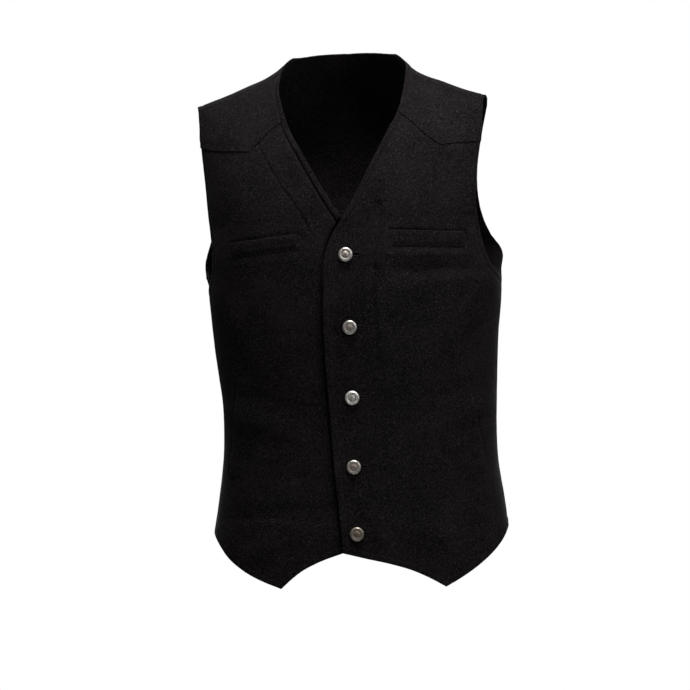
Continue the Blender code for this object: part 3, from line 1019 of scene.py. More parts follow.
@dataclass
class ClothPanel:
    """A panel of cloth: a closed thin shell over one stretch of the body surface."""

    name: str
    body: BodySurface
    wool: bpy.types.Material
    thread: bpy.types.Material
    outline: Outline
    cut: Cut
    step: float = 2.6
    thickness: float = WALL
    inset: float = EDGE_INSET
    rests_on: tuple[str, ...] = ()
    relax_rounds: int = 0

    groove_width: float = 1.5
    puff: float = 0.35
    puff_fade: float = 2.0
    rim_start: float = 0.06
    inner_relief: float = 0.4

    def base(self, grid: Array) -> Array:
        """How far the inner face stands off the body."""
        return np.zeros(grid.shape[:-1])

    def thick(self, grid: Array) -> Array:
        """The cloth's thickness away from its edges."""
        return np.full(grid.shape[:-1], self.thickness)

    def patch(self) -> Array:
        """Fills the outline in with an even grid of surface coordinates.

        Returns:
            The grid; v rises from row to row, and u from column to column.
        """

        def chain(edges: tuple[Edge, ...]) -> Array:
            """An edge's stretches end to end, each in the same number of parts.

            Args:
                edges: The stretches.

            Returns:
                The edge's surface coordinates.
            """
            lines = []
            for edge in edges:
                along = run_along(self.body.points(edge.line))
                wanted = np.linspace(0, along[-1], DENSE_PART + 1)
                lines.append(np.stack([np.interp(wanted, along, edge.line[:, k]) for k in (0, 1)], -1))
            return np.vstack([lines[0]] + [line[1:] for line in lines[1:]])

        bottom, top, first, last = (
            chain(edges)
            for edges in (self.outline.bottom, self.outline.top, self.outline.first, self.outline.last)
        )
        runs = [run_along(self.body.points(line)) for line in (bottom, top, first, last)]
        s = (runs[0] / runs[0][-1] + runs[1] / runs[1][-1])[None, :, None] / 2
        t = (runs[2] / runs[2][-1] + runs[3] / runs[3][-1])[:, None, None] / 2
        along = (1 - t) * bottom[None] + t * top[None]
        across = (1 - s) * first[:, None] + s * last[:, None]
        low = (1 - s) * bottom[0] + s * bottom[-1]
        high = (1 - s) * top[0] + s * top[-1]
        grid = self.relaxed(along + across - ((1 - t) * low + t * high))
        return grid if grid[0, -1, 0] > grid[0, 0, 0] else grid[:, ::-1]

    def relaxed(self, grid: Array) -> Array:
        """The grid with its inner points eased apart, so that no cell folds beside a deep corner.

        Args:
            grid: Surface coordinates, u and v last.

        Returns:
            The eased grid.
        """
        flat = grid * (TYPICAL_RADIUS, 1.0)
        for _ in range(self.relax_rounds):
            across, up = (flat[1:-1, 2:] - flat[1:-1, :-2]) / 2, (flat[2:, 1:-1] - flat[:-2, 1:-1]) / 2
            pairs = ((up, up), (across, up), (across, across))
            a, b, c = (np.sum(p * q, axis=-1)[..., None] for p, q in pairs)
            twist = (flat[2:, 2:] - flat[2:, :-2] - flat[:-2, 2:] + flat[:-2, :-2]) / 4
            beside, above = flat[1:-1, 2:] + flat[1:-1, :-2], flat[2:, 1:-1] + flat[:-2, 1:-1]
            eased = (a * beside + c * above - 2 * b * twist) / (2 * (a + c))
            flat[1:-1, 1:-1] += RELAX_SHARE * (eased - flat[1:-1, 1:-1])
        return flat / (TYPICAL_RADIUS, 1.0)

    def regraded(self, lines: Array, has_corner: bool) -> Array:
        """Lines of coordinates with their points moved to graded distances from both ends.

        Args:
            lines: Surface coordinates, one line to a row.
            has_corner: True where the end of the edge's first stretch keeps a point of its own.

        Returns:
            The graded lines.
        """
        runs = [run_along(self.body.points(line)) for line in lines]
        corner = DENSE_PART if has_corner else -1
        whole = max(run[-1] for run in runs)
        share = float(np.mean([run[corner] / run[-1] for run in runs]))
        count = max(FEWEST_CELLS, round((whole - 2 * EDGE_STEPS[-1]) / self.step))
        lower = max(FEWEST_CELLS // 2, round(count * share))
        graded = []
        for line, run in zip(lines, runs):
            near = np.array(EDGE_STEPS) * min(1.0, EDGE_SHARE * run[-1] / EDGE_STEPS[-1])
            far = run[-1] - near[::-1]
            if has_corner:
                turn = np.clip(run[corner], near[-1] + CORNER_CLEAR, far[0] - CORNER_CLEAR)
                upper = max(FEWEST_CELLS // 2, count - lower)
                below = np.linspace(near[-1], turn, lower + 1)[1:]
                middle = np.concatenate([below, np.linspace(turn, far[0], upper + 1)[1:-1]])
            else:
                middle = np.linspace(near[-1], far[0], lower + 1)[1:-1]
            wanted = np.concatenate([near, middle, far])
            graded.append(np.stack([np.interp(wanted, run, line[:, k]) for k in (0, 1)], -1))
        return np.array(graded)

    def grid(self) -> Array:
        """The panel's grid of surface coordinates, dense along its edges."""
        columns = self.regraded(self.patch().transpose(1, 0, 2), len(self.outline.first) > 1)
        return self.regraded(columns.transpose(1, 0, 2), len(self.outline.bottom) > 1)

    def relief(self, grid: Array) -> Array:
        """How far folds, creases, marks and sewing lift the cloth's face.

        Args:
            grid: Surface coordinates, u and v last.

        Returns:
            A lift for each point.
        """
        points = self.body.points(grid)
        behind = np.cos(grid[..., 0]) < 0
        fade = smooth_step(np.abs(np.cos(grid[..., 0])) / SIDE_FADE)
        return self.drape(points, behind) * fade + self.marks(points) + self.sewn(points)

    def drape(self, points: Array, behind: Array) -> Array:
        """The folds and creases."""
        x, z = points[..., 0], points[..., 2]
        return sum(np.where(behind == fold.behind, fold.lift(x, z), 0) for fold in FOLDS + CREASES)

    def marks(self, points: Array) -> Array:
        """What shows through the cloth from inside."""
        return np.zeros(points.shape[:-1])

    def sewn(self, points: Array) -> Array:
        """The turned edges' puff and the groove that the topstitching pulls in.

        Args:
            points: World points on the body surface.

        Returns:
            A lift for each point.
        """
        height = np.zeros(points.shape[:-1])
        for edge in self.outline.turned():
            away = distance_to(points, self.body.points(edge.line))
            puff = self.puff * edge.depth * smooth_step((self.inset - away) / self.puff_fade)
            groove = -edge.depth * np.exp(-(((away - self.inset) / self.groove_width) ** 2))
            height = np.where(np.abs(puff + groove) > np.abs(height), puff + groove, height)
        return height

    def unevenness(self, points: Array) -> Array:
        """The soft hand of the cloth: slow waves and a faint pucker, in millimetres.

        Args:
            points: World points on the body surface.

        Returns:
            A lift for each point.
        """
        flat = points.reshape(-1, 3)
        slow = np.array([noise.noise(Vector(p) * WAVE_CELLS) for p in flat])
        quick = np.array([noise.noise(Vector(p) * PUCKER_CELLS + Vector(PUCKER_PLACE)) for p in flat])
        return (WAVE_HEIGHT * slow + PUCKER_HEIGHT * quick).reshape(points.shape[:-1])

    def rounding(self, grid: Array) -> Array:
        """The share of its thickness that the cloth has, from its edges inwards.

        Args:
            grid: Surface coordinates, u and v last.

        Returns:
            A share for each point.
        """
        points = self.body.points(grid)
        away = []
        for axis in (0, 1):
            steps = np.linalg.norm(np.diff(points, axis=axis), axis=-1)
            run = np.cumsum(steps, axis=axis)
            zero = np.zeros_like(run[:1] if axis == 0 else run[:, :1])
            run = np.concatenate([zero, run], axis=axis)
            total = run[-1:] if axis == 0 else run[:, -1:]
            away.append(np.minimum(run, total - run))
        inside = np.clip((np.minimum(*away) + self.rim_start) / (self.thick(grid) / 2), 0, 1)
        return np.sqrt(1 - (1 - inside) ** 2)

    def faces(self, grid: Array) -> tuple[Array, Array]:
        """Lifts the two faces of the shell off the body.

        Args:
            grid: Surface coordinates, u and v last.

        Returns:
            The outer face's points and the inner one's.
        """
        surface, normal = self.body.points(grid), self.body.normals(grid)
        half = self.thick(grid) / 2
        middle = self.base(grid) + half + self.unevenness(surface)
        relief = self.relief(grid)
        share = self.rounding(grid)
        outer = middle + relief + half * share
        inner = middle + self.inner_relief * relief - half * share
        return surface + normal * outer[..., None], surface + normal * inner[..., None]

    def outer(self, line: Array) -> tuple[Array, Array]:
        """The outer face away from the edges.

        Args:
            line: Surface coordinates, in one row.

        Returns:
            Its world points and normals there.
        """
        surface, normal = self.body.points(line), self.body.normals(line)
        lift = self.base(line) + self.thick(line) + self.relief(line) + self.unevenness(surface)
        return surface + normal * lift[:, None], normal

    def make(self) -> bpy.types.Object:
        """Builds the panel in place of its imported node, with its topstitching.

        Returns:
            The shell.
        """
        outer, inner = self.faces(self.grid())
        rows, columns = outer.shape[:2]
        index = np.arange(rows * columns).reshape(rows, columns)
        front = np.stack([index[:-1, :-1], index[:-1, 1:], index[1:, 1:], index[1:, :-1]], -1)
        back = front[..., ::-1] + rows * columns
        rim = np.concatenate([index[0, :-1], index[:-1, -1], index[-1, :0:-1], index[:0:-1, 0]])
        after = np.roll(rim, -1)
        sides = np.stack([rim + rows * columns, after + rows * columns, after, rim], -1)
        faces = np.vstack([front.reshape(-1, 4), back.reshape(-1, 4), sides]).tolist()
        points = np.vstack([outer.reshape(-1, 3), inner.reshape(-1, 3)])
        made = Piece(self.name + "_cloth", points, faces, self.wool, Slot.WOOL).make()
        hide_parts(self.name)
        self.finish(made)
        stitching = self.topstitching()
        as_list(self.rests_on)
        return made

    def finish(self, made: bpy.types.Object) -> None:
        """What a panel needs after its shell is made; nothing, on most."""

    def topstitching(self) -> bpy.types.Object | None:
        """A row of stitches along each turned edge.

        Returns:
            The stitches, or None where no edge is turned.
        """
        turned = self.outline.turned()
        if not turned:
            return None
        sewing = Sewing(self.name + "_topstitching", self.thread)
        middle = self.body.points(self.patch()).reshape(-1, 3).mean(axis=0)
        edges = [self.body.points(edge.line) for edge in turned]
        for number, stretch in enumerate(turned):
            path = self.body.inset(stretch.line, self.inset, middle)
            along = run_along(self.body.points(path))
            wanted = np.arange(STITCH_START, along[-1] - STITCH_PITCH, STITCH_PITCH)
            ends = []
            for places in (wanted, wanted + STITCH_FILL * STITCH_PITCH):
                ends.append(np.stack([np.interp(places, along, path[:, k]) for k in (0, 1)], -1))
            others = [edge for k, edge in enumerate(edges) if k != number]
            here = self.body.points(ends[0])
            clear = np.full(len(here), True)
            for other in others:
                clear &= distance_to(here, other) > self.inset - CORNER_SLACK
            if not clear.any():
                continue
            start, normal = self.outer(ends[0][clear])
            end, _ = self.outer(ends[1][clear])
            sewing.add(start, end, normal)
        return sewing.make()


@dataclass(frozen=True)
class FrontCut:
    """The cut edges of one front, in the front view, with x counted outwards on its own side."""

    side: Side
    front_edge: Rows
    neckline: Rows
    armhole: Rows
    hem_inner: Rows
    hem_outer: Rows
    armpit: float
    yoke_inner: Rows
    yoke_outer: Rows
    neck_depth: float


LEFT = FrontCut(
    side=Side.LEFT,
    front_edge=(
        (-17.6, -613), (-20, -572), (-24, -520), (-27.3, -448), (-30.2, -385), (-31, -335),
        (-29.5, -290), (-25, -244), (-16, -220), (-2.5, -198),
    ),
    neckline=(
        (-2.5, -198), (15.2, -168), (37.5, -125), (57, -88), (68.5, -65), (74.5, -44), (79.5, -5),
    ),
    armhole=(
        (175, -56), (170.6, -98), (164.5, -135), (161.4, -173), (163, -210), (167.5, -236),
        (176, -260), (186, -272),
    ),
    hem_inner=((-17.6, -613), (9.8, -620.5), (39, -628), (68, -638), (88, -648), (107, -659.5)),
    hem_outer=((107, -659.5), (127, -649), (147, -636.5), (167, -620), (178.5, -607), (187.5, -589)),
    armpit=-277.0,
    yoke_inner=((69, -68), (84, -81), (104, -100), (119, -111.5)),
    yoke_outer=((119, -111.5), (143, -109), (168, -107.5)),
    neck_depth=0.7,
)

RIGHT = FrontCut(
    side=Side.RIGHT,
    front_edge=(
        (-18, -603), (-21, -560), (-24, -520), (-27.3, -448), (-30, -385), (-31, -335),
        (-29.5, -290), (-24, -250), (-14, -226), (-3, -211),
    ),
    neckline=(
        (-3, -211), (7.9, -193), (20, -173), (49.5, -118), (69, -79), (75.5, -57), (81, -32), (79, -5),
    ),
    armhole=(
        (188, -52), (183, -99), (178.2, -152), (174, -203), (171.6, -240), (174.5, -264),
        (182, -280),
    ),
    hem_inner=((-18, -603), (17.6, -613), (50, -624), (71, -634.5), (85, -645), (97, -655.5)),
    hem_outer=((97, -655.5), (122, -645.5), (142.5, -635), (164, -618), (176, -603.5), (188.5, -586)),
    armpit=-286.0,
    yoke_inner=((72, -72), (87.5, -82), (104, -97.5), (119, -110.5)),
    yoke_outer=((119, -110.5), (145, -108), (170, -103.5), (183, -99)),
    neck_depth=1.7,
)

# The back's armholes from the shoulder down, its neckline from the wearer's left, and its hem, which is
# parted into three stretches, as its top edge is
BACK_ARMHOLE_LEFT = (
    (181, -52), (170, -95), (163, -140), (165, -182), (177, -218), (191.5, -243), (188.5, -264),
)
BACK_ARMHOLE_RIGHT = (
    (190, -47), (181, -98), (176, -148), (179, -195), (187, -225), (190.5, -245), (185.5, -266),
)
BACK_NECKLINE = ((79, 1), (72, 9), (50, 17), (25, 21), (0, 22), (-25, 21), (-50, 17), (-72, 9), (-79, 1))
BACK_HEM_DIP = 10.0
BACK_HEM_BREAKS = (0, 19, 40, LINE_SAMPLES - 1)
SIDE_HEM_LEFT = -589.0
SIDE_HEM_RIGHT = -586.0


@dataclass
class Pattern:
    """Turns the cut tables into outlines on the body."""

    body: BodySurface

    def side_seam(self, side: Side, low: float, high: float, behind: bool = False) -> Array:
        """The side seam, a hair to the front or the back of the side.

        Args:
            side: The side that it is on.
            low: The height of its lower end.
            high: The height of its upper end.
            behind: True for the back's edge of it.

        Returns:
            Surface coordinates, lowest first.
        """
        turn = math.pi / 2 + (SIDE_SEAM_ANGLE if behind else -SIDE_SEAM_ANGLE)
        angle = turn if side is Side.LEFT else (2 * math.pi - turn if behind else -turn)
        v = np.linspace(low, high, LINE_SAMPLES)
        return np.stack([np.full_like(v, angle), v], -1)

    def shoulder_seam(self, cut: FrontCut) -> Array:
        """The shoulder seam in the front view, from the neckline to the armhole."""
        x = np.linspace(cut.neckline[-1][0], cut.armhole[0][0], LINE_SAMPLES) * cut.side.value
        return np.stack([x, self.body.ridge(x) - SHOULDER_SEAM_DROP], -1)

    def front(self, cut: FrontCut) -> Outline:
        """One front, from its hem to just under the yoke.

        Args:
            cut: The front's cut edges.

        Returns:
            The front's outline.
        """
        neckline, armhole = drawn(cut.neckline, cut.side), drawn(cut.armhole, cut.side)
        lap_inner = drawn(cut.yoke_inner, cut.side) + (0, YOKE_LAP)
        lap_outer = drawn(cut.yoke_outer, cut.side) + (0, YOKE_LAP)
        neck = cut_at(neckline, cut.neckline[0][1], lap_inner[0, 1])
        arm = cut_at(armhole, cut.armhole[-1][1], lap_outer[-1, 1])
        lap_inner[0], lap_outer[-1] = neck[-1], arm[-1]
        seam = self.side_seam(cut.side, cut.hem_outer[-1][1], cut.armpit)
        hem_outer = self.body.coordinates(drawn(cut.hem_outer, cut.side))
        hem_outer[-1] = seam[0]
        on_body = self.body.coordinates
        return Outline(
            bottom=(
                Edge(on_body(drawn(cut.hem_inner, cut.side)), EdgeKind.TURNED, HEM_DEPTH),
                Edge(hem_outer, EdgeKind.TURNED, HEM_DEPTH),
            ),
            top=(Edge(on_body(lap_inner), EdgeKind.COVERED), Edge(on_body(lap_outer), EdgeKind.COVERED)),
            first=(
                Edge(on_body(drawn(cut.front_edge, cut.side)), EdgeKind.TURNED, FRONT_EDGE_DEPTH),
                Edge(on_body(neck), EdgeKind.TURNED, cut.neck_depth),
            ),
            last=(
                Edge(seam, EdgeKind.SEWN),
                Edge(np.vstack([seam[-1:], on_body(arm)]), EdgeKind.TURNED, ARMHOLE_DEPTH),
            ),
        )

    def yoke(self, cut: FrontCut) -> Outline:
        """One yoke, from its pointed lower edge to the shoulder seam.

        Args:
            cut: The cut edges of the front that it tops.

        Returns:
            The yoke's outline.
        """
        seam = self.shoulder_seam(cut)
        low_inner, low_outer = drawn(cut.yoke_inner, cut.side), drawn(cut.yoke_outer, cut.side)
        neck = cut_at(drawn(cut.neckline, cut.side), low_inner[0, 1], seam[0, 1])
        arm = cut_at(drawn(cut.armhole, cut.side), low_outer[-1, 1], seam[-1, 1])
        low_inner[0], low_outer[-1] = neck[0], arm[0]
        seam[0], seam[-1] = neck[-1], arm[-1]
        on_body = self.body.coordinates
        half = len(seam) // 2
        return Outline(
            bottom=(
                Edge(on_body(low_inner), EdgeKind.TURNED, YOKE_EDGE_DEPTH),
                Edge(on_body(low_outer), EdgeKind.TURNED, YOKE_EDGE_DEPTH),
            ),
            top=(Edge(on_body(seam[: half + 1]), EdgeKind.SEWN), Edge(on_body(seam[half:]), EdgeKind.SEWN)),
            first=(Edge(on_body(neck), EdgeKind.TURNED, YOKE_NECK_SHARE * cut.neck_depth),),
            last=(Edge(on_body(arm), EdgeKind.TURNED, YOKE_ARMHOLE_DEPTH),),
        )

    def back(self) -> Outline:
        """The back, side seam to side seam and over both shoulders.

        Returns:
            The back's outline.
        """
        seams = {}
        for cut in (LEFT, RIGHT):
            line = self.body.coordinates(self.shoulder_seam(cut))
            over = np.stack([math.pi - line[:, 0], 2 * (ARMHOLE_LEVEL + UPPER_RUN) - line[:, 1]], -1)
            seams[cut.side] = over - (0, SHOULDER_SEAM_GAP)
        neckline = self.body.coordinates(drawn(BACK_NECKLINE), True)
        neckline[0], neckline[-1] = seams[Side.LEFT][0], seams[Side.RIGHT][0]
        edges = []
        for cut, armhole, hem in (
            (LEFT, BACK_ARMHOLE_LEFT, SIDE_HEM_LEFT),
            (RIGHT, BACK_ARMHOLE_RIGHT, SIDE_HEM_RIGHT),
        ):
            side = self.side_seam(cut.side, hem, cut.armpit, True)
            hole = self.body.coordinates(drawn(armhole[::-1], cut.side), True)
            hole = np.vstack([side[-1:], hole, seams[cut.side][-1:]])
            edges.append((Edge(side, EdgeKind.SEWN), Edge(hole, EdgeKind.TURNED, ARMHOLE_DEPTH)))
        angle = np.linspace(edges[0][0].line[0, 0], edges[1][0].line[0, 0], LINE_SAMPLES)
        dip = BACK_HEM_DIP * np.sin(angle - math.pi / 2) ** 2
        hem = np.stack([angle, np.linspace(SIDE_HEM_LEFT, SIDE_HEM_RIGHT, LINE_SAMPLES) - dip], -1)
        stretches = [hem[a : b + 1] for a, b in zip(BACK_HEM_BREAKS, BACK_HEM_BREAKS[1:])]
        return Outline(
            bottom=tuple(Edge(part, EdgeKind.TURNED, BACK_EDGE_DEPTH) for part in stretches),
            top=(
                Edge(seams[Side.LEFT][::-1], EdgeKind.SEWN),
                Edge(neckline, EdgeKind.TURNED, BACK_EDGE_DEPTH),
                Edge(seams[Side.RIGHT], EdgeKind.SEWN),
            ),
            first=edges[0],
            last=edges[1],
        )


@dataclass
class FrontPanel(ClothPanel):
    """One front, with the marks of its facing, pockets and hem; the left one laps over the right."""

    side: Side = Side.LEFT

    def base(self, grid: Array) -> Array:
        """The overlapping front's stand-off where it lies on the other front.

        Args:
            grid: Surface coordinates, u and v last.

        Returns:
            A distance for each point.
        """
        if self.side is Side.RIGHT:
            return np.zeros(grid.shape[:-1])
        x = self.body.points(grid)[..., 0]
        return LAYER * (1 - smooth_step((x - LAP_FULL_X) / (LAP_END_X - LAP_FULL_X)))

    def marks(self, points: Array) -> Array:
        """The lines of the facing, the pockets and the hem.

        Args:
            points: World points on the body surface.

        Returns:
            A lift for each point.
        """
        height = np.zeros(points.shape[:-1])
        view = points[..., [0, 2]]
        for mark in IMPRESSIONS:
            if mark.side is self.side:
                away = distance_to(view, drawn(mark.points, mark.side, MARK_STEPS))
                height += mark.height * np.exp(-((away / mark.width) ** 2))
        return height


@dataclass
class OverlapPanel(FrontPanel):
    """The front with the buttonholes: keyholes cut through it and bound with thread."""

    edge_lift: float = 2.4
    edge_reach: float = 16.0
    slit_halves: tuple[float, ...] = (1.15, 0.75, 0.75, 0.75, 0.75)
    slit_length: float = 17.5
    eye_radius: float = 2.2
    eye_sides: int = 24
    cut_depths: Span = (-2 * WALL, 3 * WALL)
    binding_start: float = 0.1
    binding: float = 1.7
    binding_pitch: float = 0.62
    binding_run: float = 44.0
    binding_parts: int = 30

    def base(self, grid: Array) -> Array:
        """The stand-off, with the front edge springing a little further off the front below.

        Args:
            grid: Surface coordinates, u and v last.

        Returns:
            A distance for each point.
        """
        edge = self.outline.first[0].line
        away = distance_to(self.body.points(grid), self.body.points(edge))
        return super().base(grid) + self.edge_lift * (1 - smooth_step(away / self.edge_reach))

    def hole_outline(self, slit_half: float, spread: float = 0.0, parts: int = 1) -> Array:
        """A keyhole round a button's shank, its slit running towards +x.

        Args:
            slit_half: Half the slit's width; the first one is pulled open.
            spread: How far outside the hole the outline runs.
            parts: How many parts the slit's long sides have.

        Returns:
            The outline's points on the cloth, anticlockwise.
        """
        radius, half = self.eye_radius + spread, slit_half + spread
        start = math.asin(half / radius)
        turns = np.linspace(start, 2 * math.pi - start, self.eye_sides)
        eye = np.stack([radius * np.cos(turns), radius * np.sin(turns)], 1)
        run = np.linspace(eye[-1, 0], self.slit_length, parts + 1)[1:]
        lower = np.stack([run, np.full(parts, -half)], 1)
        return np.vstack([eye, lower, lower[::-1] * (1, -1)])

    def finish(self, made: bpy.types.Object) -> None:
        """Cuts the buttonholes through the shell.

        Args:
            made: The shell.
        """
        points, faces = [], []
        for at, slit_half in zip(BUTTON_PLACES, self.slit_halves):
            place = button_place(self.body, at, LAYER)
            outline = self.hole_outline(slit_half)
            first, count = len(points), len(outline)
            for depth in self.cut_depths:
                points += [(place @ (Vector((x, y, depth)) * MM)) / MM for x, y in outline]
            low = [first + k for k in range(count)]
            faces += [low[::-1], [k + count for k in low]]
            faces += [[a, b, b + count, a + count] for a, b in zip(low, low[1:] + low[:1])]
        mesh = bpy.data.meshes.new("cutter")
        mesh.from_pydata((np.array(points) * MM).tolist(), [], faces)
        cutter = bpy.data.objects.new("cutter", mesh)
        bpy.context.collection.objects.link(cutter)
        holes = made.modifiers.new("buttonholes", "BOOLEAN")
        holes.operation = "DIFFERENCE"
        holes.object = cutter
        settled = made.evaluated_get(bpy.context.evaluated_depsgraph_get())
        made.data = bpy.data.meshes.new_from_object(settled)
        made.modifiers.clear()
        bpy.data.objects.remove(cutter, do_unlink=True)

    def topstitching(self) -> bpy.types.Object | None:
        """The edges' stitches, with the buttonholes' binding as a piece of its own.

        Returns:
            The edges' stitches.
        """
        binding = Sewing("buttonhole_binding", self.thread, 0.3, lifts=(-0.5, 0.08, 0.12, 0.04, -0.4))
        for at, slit_half in zip(BUTTON_PLACES, self.slit_halves):
            place = button_place(self.body, at, LAYER)
            pairs = []
            for spread in (self.binding_start, self.binding):
                outline = self.hole_outline(slit_half, spread, self.binding_parts)
                closed = np.vstack([outline, outline[:1]])
                along = run_along(closed)
                wanted = np.arange(0, 1, self.binding_pitch / self.binding_run) * along[-1]
                flat = np.stack([np.interp(wanted, along, closed[:, k]) for k in (0, 1)], 1)
                world = np.array([(place @ (Vector((x, y, 0)) * MM)) / MM for x, y in flat])
                pairs.append(self.outer(self.body.coordinates(world[:, [0, 2]])))
            (start, normal), (end, _) = pairs
            binding.add(start, end, normal)
        binding.make()
        return super().topstitching()


@dataclass
class YokePanel(ClothPanel):
    """A pointed yoke, lapped over the top of its front and easing down onto the shoulder."""

    edge_thickness: float = 0.85
    lap_gap: float = 0.2

    def low(self, grid: Array) -> Array:
        """The share of a point's way down to where the yoke lies on its front.

        Args:
            grid: Surface coordinates, u and v last.

        Returns:
            A share for each point, 1 at the lower edge.
        """
        edge = np.vstack([self.body.points(part.line) for part in self.outline.bottom])
        above = distance_to(self.body.points(grid), edge)
        return 1 - smooth_step((above - YOKE_FLAT) / YOKE_EASE)

    def base(self, grid: Array) -> Array:
        """How far the yoke stands off the body above its lower edge."""
        return (WALL + self.lap_gap) * self.low(grid)

    def thick(self, grid: Array) -> Array:
        """The yoke, thinner where it is pressed flat over its front."""
        return self.thickness + (self.edge_thickness - self.thickness) * self.low(grid)


@dataclass
class Welt(ClothPanel):
    """A pocket's welt, sewn down along three edges, with its mouth along the fourth."""

    front: FrontPanel | None = None
    corners: Rows = ()
    mouth: Rows = ()
    lift: float = 0.08
    belly: float = 0.45
    belly_at: float = 4.5
    belly_width: float = 5.0
    mouth_start: float = 0.05
    mouth_round: float = 0.9
    sewn_share: float = 0.1
    sewn_run: float = 6.5

    def base(self, grid: Array) -> Array:
        """The face of the front that the welt lies on.

        Args:
            grid: Surface coordinates, u and v last.

        Returns:
            Its distance from the body at each point.
        """
        surface = self.body.points(grid)
        fade = smooth_step(np.abs(np.cos(grid[..., 0])) / SIDE_FADE)
        drape = self.front.drape(surface, np.full(grid.shape[:-1], False)) * fade
        return self.front.base(grid) + WALL + self.lift + drape

    def relief(self, grid: Array) -> Array:
        """A soft belly below the welt's mouth.

        Args:
            grid: Surface coordinates, u and v last.

        Returns:
            A lift for each point.
        """
        points = self.body.points(grid)[..., [0, 2]]
        away = distance_to(points, drawn(self.mouth, self.front.side, MARK_STEPS))
        return self.belly * np.exp(-(((away - self.belly_at) / self.belly_width) ** 2))

    def faces(self, grid: Array) -> tuple[Array, Array]:
        """The welt's faces: flat below, and above it low where it is sewn down and full at its mouth.

        Args:
            grid: Surface coordinates, u and v last.

        Returns:
            The outer face's points and the inner one's.
        """
        surface, normal = self.body.points(grid), self.body.normals(grid)
        base = self.base(grid) + self.unevenness(surface)
        view = surface[..., [0, 2]]
        corners = drawn(self.corners, self.front.side, 1)
        mouth = distance_to(view, drawn(self.mouth, self.front.side, MARK_STEPS))
        sewn = distance_to(view, corners)
        inside = np.clip((mouth + self.mouth_start) / self.mouth_round, 0, 1)
        round_mouth = np.sqrt(1 - (1 - inside) ** 2)
        round_sewn = self.sewn_share + (1 - self.sewn_share) * smooth_step(sewn / self.sewn_run)
        top = base + (self.thickness * np.minimum(round_mouth, round_sewn) + self.relief(grid))
        return surface + normal * top[..., None], surface + normal * base[..., None]


class WeltRow(NamedTuple):
    """A welt's name, side, and corners in order round it from its sewn edge's start, x outwards."""

    name: str
    side: Side
    corners: Rows
    cut: Cut
    thickness: float


WELTS = (
    WeltRow(
        "chest_welt_left", Side.LEFT, ((55, -235), (144.5, -239), (145.5, -221), (54, -216)),
        CHEST_WELT_CUT, 1.1,
    ),
    WeltRow(
        "chest_welt_right", Side.RIGHT, ((58, -235.5), (144, -242), (147, -223.5), (57, -217.5)),
        CHEST_WELT_CUT, 1.1,
    ),
    WeltRow(
        "pocket_welt_left", Side.LEFT, ((123, -390), (144, -521), (160, -519), (140, -388)),
        POCKET_WELT_CUT, 0.6,
    ),
    WeltRow(
        "pocket_welt_right", Side.RIGHT, ((125, -392), (144, -519), (160, -517), (142, -390)),
        POCKET_WELT_CUT, 0.6,
    ),
)

# A button's turned outline from the top of its dome to its back: distance out and height
BUTTON_OUTLINE = (
    (0.0, 4.2), (1.2, 4.13), (2.3, 3.9), (3.2, 3.6), (3.9, 3.32), (4.35, 3.18), (4.8, 3.2), (5.4, 3.36),
    (6.2, 3.62), (7.0, 3.6), (7.8, 3.26), (8.4, 2.65), (8.8, 1.9), (9.0, 1.2), (8.8, 0.55), (7.9, 0.1),
    (5.0, 0.0), (1.6, 0.0), (1.6, -1.2), (1.6, -2.5), (0.0, -2.5),
)


def button_place(body: BodySurface, at: tuple[float, float], offset: float) -> Matrix:
    """The frame of a button.

    Args:
        body: The body surface.
        at: The button's x and z in the front view.
        offset: How far its origin stands off the body.

    Returns:
        A matrix in metres, its z axis pointing out of the cloth.
    """
    grid = body.coordinates(np.array(at))
    normal, surface = body.normals(grid), body.points(grid)
    lift = sum(fold.lift(surface[0], surface[2]) for fold in FOLDS if not fold.behind)
    out = Vector(normal)
    across = Vector((1, 0, 0))
    across = (across - out * across.dot(out)).normalized()
    place = Matrix((across, out.cross(across), out)).transposed().to_4x4()
    place.translation = Vector(surface + normal * (offset + lift)) * MM
    return place


@dataclass
class ButtonSet:
    """The five domed buttons, each turned about its own axis."""

    body: BodySurface
    sides: int = 72
    samples: int = 110
    least_radius: float = 0.02

    def make(self) -> list[bpy.types.Object]:
        """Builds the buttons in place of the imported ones.

        Returns:
            The five buttons.
        """
        rows = np.array(BUTTON_OUTLINE)
        run = run_along(rows)
        outline = Spline(run, rows)(np.linspace(0, run[-1], self.samples)[1:-1])
        radii, heights = np.maximum(outline[:, :1], self.least_radius), outline[:, 1:]
        turns = np.linspace(0, 2 * math.pi, self.sides, endpoint=False)
        rings = np.stack(
            [radii * np.cos(turns), radii * np.sin(turns), np.tile(heights, self.sides)], -1
        )
        index = np.arange(len(outline) * self.sides).reshape(-1, self.sides)
        after = np.roll(index, -1, axis=1)
        quads = np.stack([index[:-1], index[1:], after[1:], after[:-1]], -1).reshape(-1, 4)
        faces = [*quads.tolist(), index[0].tolist(), index[-1, ::-1].tolist()]
        made = []
        for number, (at, wear) in enumerate(zip(BUTTON_PLACES, BUTTON_WEAR), 1):
            place = button_place(self.body, at, LAYER + WALL + SEAM_GAP)
            metal = AntiqueNickel(f"antique_nickel_{number}", wear).material()
            name = f"button_{number}_domed"
            button = Piece(name, rings.reshape(-1, 3), faces, metal, Slot.BUTTON, place).make()
            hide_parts(f"button_{number}")
            made.append(button)
        return made


class Softbox(NamedTuple):
    """A square soft light: where it hangs and what it is turned to, its size, power and beam."""

    name: str
    place: tuple[float, float, float]
    aim: tuple[float, float, float]
    size: float
    watts: float
    spread_deg: float


